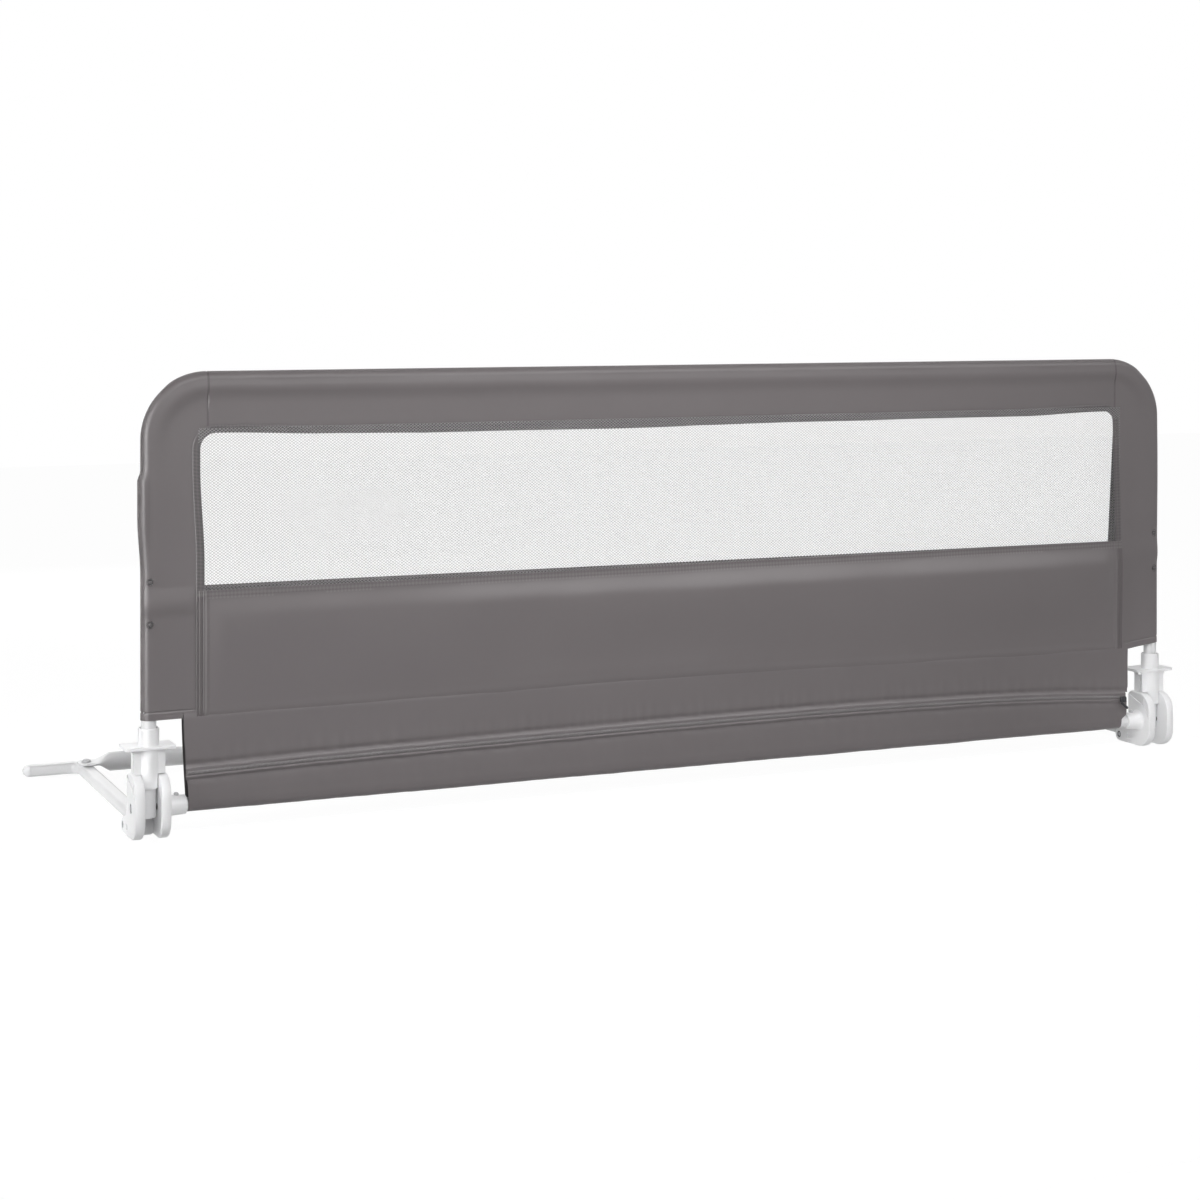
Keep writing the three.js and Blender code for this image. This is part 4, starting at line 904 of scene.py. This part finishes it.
def frame_stitch_lines():
    """Two rows of stitches round the window, in front and behind."""
    points, shares, turns = frame_grid()
    lines = []
    faces = ((-1, range(len(FRONT_SHARES))), (1, range(len(shares) - len(BACK_SHARES), len(shares))))
    for face, indices in faces:
        outward = np.zeros((len(points), 3))
        outward[:, 1] = face
        for share in (0.862, 0.972):
            order = sorted(indices, key=lambda i: shares[i])
            known = shares[order]
            line = [[np.interp(share, known, row[order, k]) for k in range(3)] for row in points]
            lines.append((np.array(line) + outward * STITCH_LIFT, outward))
    return lines


def panel_stitch_lines():
    """Two rows of stitches along the top hem of the front panel."""
    lines = []
    x = np.linspace(-POST_X + BORDER + 1, POST_X - BORDER - 1, 400)
    for drop in (1.6, 7.0):
        z = hem_height(x) + hem_wander(x) - drop
        y = -(PANEL_DEPTH + panel_relief(x, z)) - 0.3 - STITCH_LIFT
        lines.append((np.stack([x, y, z], 1), np.stack([0 * x, 0 * x - 1, 0 * x], 1)))
    return lines


def make_stitches():
    """The stitches beside the window and along the front panel's top hem."""
    places = stitch_rows(frame_stitch_lines() + panel_stitch_lines())
    return beads("stitches", places, (2.0, 0.5, 0.4), THREAD)


def make_teeth():
    """The zipper's teeth along its wavy line."""
    x = np.arange(-POST_X + ZIP_LEFT, POST_X - ZIP_RIGHT - 2, TOOTH_PITCH)
    slope = np.gradient(zip_height(x), x)
    run = np.stack([np.ones_like(x), 0 * x, slope], 1)
    run /= np.linalg.norm(run, axis=1)[:, None]
    out = np.tile([0.0, -1.0, 0.0], (len(x), 1))
    up = np.cross(run, out)
    centres = np.stack([x, 0 * x - TEETH_DEPTH, zip_height(x)], 1)
    return beads("zipper_teeth", (centres, up, run, out), (4.8, 1.4, 1.6), TEETH)


def rounded_outline(width, height, radius, middle, steps=5):
    """A rectangle in x and z with rounded corners."""
    points = []
    for corner, (sx, sz) in enumerate(((1, 1), (-1, 1), (-1, -1), (1, -1))):
        for i in range(steps + 1):
            a = (corner + i / steps) * math.pi / 2
            points.append((middle[0] + sx * (width / 2 - radius) + radius * math.cos(a),
                           middle[1] + sz * (height / 2 - radius) + radius * math.sin(a)))
    return points


def prism(name, outline, low, high, bevel):
    """A bevelled steel plate with its outline in x and z, from low to high in y."""
    count = len(outline)
    faces = [tuple(range(count))[::-1], tuple(range(count, 2 * count))]
    faces += [(i, (i + 1) % count, count + (i + 1) % count, count + i) for i in range(count)]
    points = [(x, y, z) for y in (low, high) for x, z in outline]
    thing = mesh_object(name, np.array(points), faces, [DARK_STEEL])
    bm = bmesh.new()
    bm.from_mesh(thing.data)
    bmesh.ops.recalc_face_normals(bm, faces=bm.faces)
    bm.to_mesh(thing.data)
    bm.free()
    edge = thing.modifiers.new("edge", "BEVEL")
    edge.width = bevel * MM
    edge.segments = 3
    edge.angle_limit = math.radians(50)
    bake_modifiers(thing)
    soften(thing, 60)
    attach(thing, "zipper_slider")
    return thing


def make_zipper_slider():
    """The zipper's slider with its bridge and a pull tab that leans to the right as it hangs."""
    x = POST_X - 57
    z = float(zip_height(np.array([x]))[0]) - 2.2
    body = prism("zip_slider_body", rounded_outline(10.5, 8.5, 2.8, (x, z)), -13.2, -16.2, 0.8)
    prism("zip_slider_bridge", rounded_outline(3.2, 6.0, 1.4, (x, z)), -16.1, -17.4, 0.5)
    lean = math.radians(52)
    cos, sin = math.cos(lean), math.sin(lean)
    tab = [(x - 5 + px * cos - pz * sin, z - 4 + px * sin + pz * cos)
           for px, pz in rounded_outline(3.6, 15.0, 1.7, (0, -7.5))]
    prism("zip_pull_tab", tab, -16.0, -17.2, 0.4)
    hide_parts("zipper_slider")


# Window net: thin strands that cross in two directions
NET_STEPS = 6
NET_DEPTH = 8.25
LAYER_GAP = 0.08


def clip_strand(x0, x1, left, right):
    """Where a slanting strand from x0 at the bottom to x1 at the top enters and leaves the window."""
    start, end = 0.0, 1.0
    for limit, sign in ((left, 1), (right, -1)):
        a, b = sign * (x0 - limit), sign * (x1 - limit)
        if a < 0 and b < 0:
            return None
        if a < 0:
            start = max(start, a / (a - b))
        if b < 0:
            end = min(end, a / (a - b))
    if end - start < 0.01:
        return None
    return start, end


def make_net():
    """The window's net: strands of diamond section, one layer in front of the other."""
    left, right = -POST_X + 58, POST_X - 58
    low, high = WINDOW_BOTTOM - 6, WINDOW_TOP + 6
    pitch, tall = NET_PITCH
    rise = high - low
    reach = rise * pitch / tall
    front = np.array([0, -STRAND_DEPTH / 2, 0])
    points, faces = [], []
    for direction in (1, -1):
        first = left - reach if direction > 0 else left
        side = np.array([-direction * tall, 0, pitch]) * (STRAND_WIDTH / 2 / math.hypot(pitch, tall))
        for i in range(int((right - left + reach) / pitch) + 1):
            x0 = first + i * pitch
            clipped = clip_strand(x0, x0 + direction * reach, left, right)
            if clipped is None:
                continue
            start, end = clipped
            run = np.linspace(start, end, max(2, int(NET_STEPS * (end - start)) + 1))
            x, z = x0 + direction * reach * run, low + rise * run
            y = -direction * LAYER_GAP - NET_DEPTH - 0.3 * ripple(x, 0, z, 150, 21)
            base = len(points)
            for middle in np.stack([x, y, z], 1):
                points += [middle + side, middle + front, middle - side, middle - front]
            for a in range(base, len(points) - 4, 4):
                faces += [(a + j, a + (j + 1) % 4, a + 4 + (j + 1) % 4, a + 4 + j) for j in range(4)]
            last = len(points) - 4
            faces += [(base + 3, base + 2, base + 1, base), (last, last + 1, last + 2, last + 3)]
    thing = mesh_object("window_net_strands", np.array(points), faces, [NET_THREAD])
    thing.data.shade_smooth()
    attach(thing, "guard")
    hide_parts("window_net")
    return thing


def make_eyelet_rings():
    """Stitched rings round the holes for the spring buttons."""
    places = []
    for side in (-1, 1):
        for z in EYELET_Z:
            for i in range(EYELET_STITCHES):
                a = 2 * math.pi * i / EYELET_STITCHES
                along = np.array([math.cos(a), 0.0, math.sin(a)])
                x, up = (EYELET_RADIUS + 0.8) * along[[0, 2]]
                y = -math.sqrt((SLEEVE_RADIUS + CLOTH / 2) ** 2 - x * x)
                outward = (0.0, -1.0, 0.0)
                places.append(((side * POST_X + x, y, z + up), along, np.cross(outward, along), outward))
    return beads("eyelet_stitches", list(zip(*places)), (2.1, 1.1, 0.9), THREAD)


# Floor, lamps and camera, in metres
FLOOR_REACH = 6.0
FLOOR_DROP = 0.62
FLOOR_EDGE = AXIS_Y + 0.021
FLOOR_GLOW = 1.06
FLOOR_GLOW_SHARE = 0.9
SOFT_LIGHT = 0.29
PHOTO_PIXELS = 1200
FOCAL_PIXELS = 2349.5
HORIZON_ROW = 295

# Name, place, aim, width, height, watts, spread in degrees and whether only gloss shows it
LAMPS = (
    ("key", (-0.12, -1.6, 1.15), (-0.08, -0.19, 0.33), 1.7, 0.6, 5.6, 90, False),
    ("strip", (0.6, -2.7, 1.4), (0.2, -0.19, 0.4), 3.4, 0.35, 9.5, 180, False),
    ("left side", (-2.6, -0.6, 0.85), (-0.92, 0.03, 0.1), 0.5, 0.7, 2.0, 40, False),
    ("left gloss", (-2.1, -1.45, 0.5), (-0.73, -0.19, 0.33), 0.9, 1.3, 75, 180, True),
    ("top gloss", (1.5, -2.3, 1.9), (0.4, -0.19, 0.55), 2.2, 0.5, 30, 180, True),
    ("right hinge", (-0.3, -1.7, 0.5), (0.75, -0.19, 0.04), 0.12, 0.12, 0.04, 12, False),
    ("back", (0.2, 2.5, 0.8), (0, 0, 0.3), 2.4, 1.0, 10, 180, False),
)


def seen_directly(tree):
    """1 for rays from the camera, a reflection or clear glass, and 0 for light that falls on the object."""
    path = node(tree, "ShaderNodeLightPath")
    seen = calculate(tree, "MAXIMUM", path.outputs["Is Camera Ray"], path.outputs["Is Glossy Ray"])
    return calculate(tree, "MAXIMUM", seen, path.outputs["Is Transmission Ray"])


def make_stage():
    """A pale floor that drops behind the posts like a bed's edge, so that the folded guard hangs free."""
    wide, edge, low = FLOOR_REACH, FLOOR_EDGE, -FLOOR_DROP
    points = [(-wide, wide, 0), (wide, wide, 0), (wide, edge, 0), (-wide, edge, 0),
              (wide, edge, low), (-wide, edge, low), (wide, -wide, low), (-wide, -wide, low)]
    mesh = bpy.data.meshes.new("floor")
    mesh.from_pydata(points, [], [(3, 2, 1, 0), (5, 4, 2, 3), (7, 6, 4, 5)])
    thing = bpy.data.objects.new("floor", mesh)
    bpy.context.scene.collection.objects.link(thing)
    material, tree, shader = new_material("pale_floor")
    set_inputs(shader, {"Base Color": (0.86, 0.86, 0.86, 1), "Roughness": 0.9, "Specular IOR Level": 0.1})
    glow = node(tree, "ShaderNodeEmission", Strength=FLOOR_GLOW)
    mix = node(tree, "ShaderNodeMixShader")
    tree.links.new(calculate(tree, "MULTIPLY", seen_directly(tree), FLOOR_GLOW_SHARE), mix.inputs[0])
    tree.links.new(shader.outputs[0], mix.inputs[1])
    tree.links.new(glow.outputs[0], mix.inputs[2])
    tree.links.new(mix.outputs[0], tree.nodes["Material Output"].inputs["Surface"])
    mesh.materials.append(material)


def make_world():
    """White where it is seen directly, and a softer light on the object."""
    world = bpy.data.worlds.new("studio")
    bpy.context.scene.world = world
    world.use_nodes = True
    tree = world.node_tree
    background = tree.nodes["Background"]
    set_inputs(background, {"Color": (1, 1, 1, 1)})
    seen = calculate(tree, "MULTIPLY", seen_directly(tree), 1 - SOFT_LIGHT)
    tree.links.new(calculate(tree, "ADD", seen, SOFT_LIGHT), background.inputs["Strength"])


def add_lamp(name, place, aim, width, height, watts, spread, glossy_only):
    """One row of the lamps' table as a rectangular lamp."""
    lamp = bpy.data.lights.new(name, "AREA")
    lamp.shape = "RECTANGLE"
    lamp.size = width
    lamp.size_y = height
    lamp.energy = watts
    lamp.spread = math.radians(spread)
    thing = bpy.data.objects.new(name, lamp)
    thing.location = place
    thing.rotation_euler = (Vector(aim) - Vector(place)).to_track_quat("-Z", "Y").to_euler()
    thing.visible_camera = False
    thing.visible_diffuse = not glossy_only
    bpy.context.scene.collection.objects.link(thing)


def make_camera():
    """The photo's view: level, with its horizon high in the frame."""
    camera = bpy.data.cameras.new("camera")
    camera.sensor_width = 36
    camera.lens = FOCAL_PIXELS / PHOTO_PIXELS * camera.sensor_width
    camera.shift_y = HORIZON_ROW / PHOTO_PIXELS - 0.5
    thing = bpy.data.objects.new("camera", camera)
    thing.location = (-1.357, -2.96475, 0.6465)
    thing.rotation_euler = (math.radians(90), 0, math.radians(-23.7))
    bpy.context.scene.collection.objects.link(thing)
    bpy.context.scene.camera = thing


# The whole picture
make_camera()
make_world()
for lamp_row in LAMPS:
    add_lamp(*lamp_row)
make_stage()
dress_cad_nodes()
cover = make_cover_frame()
front_panel = make_front_panel()
back_panel = make_back_panel()
flap = make_flap()
zipper = make_zipper()
teeth = make_teeth()
make_zipper_slider()
net = make_net()
stitches = make_stitches()
rings = make_eyelet_rings()

bpy.context.scene.view_settings.view_transform = "Standard"
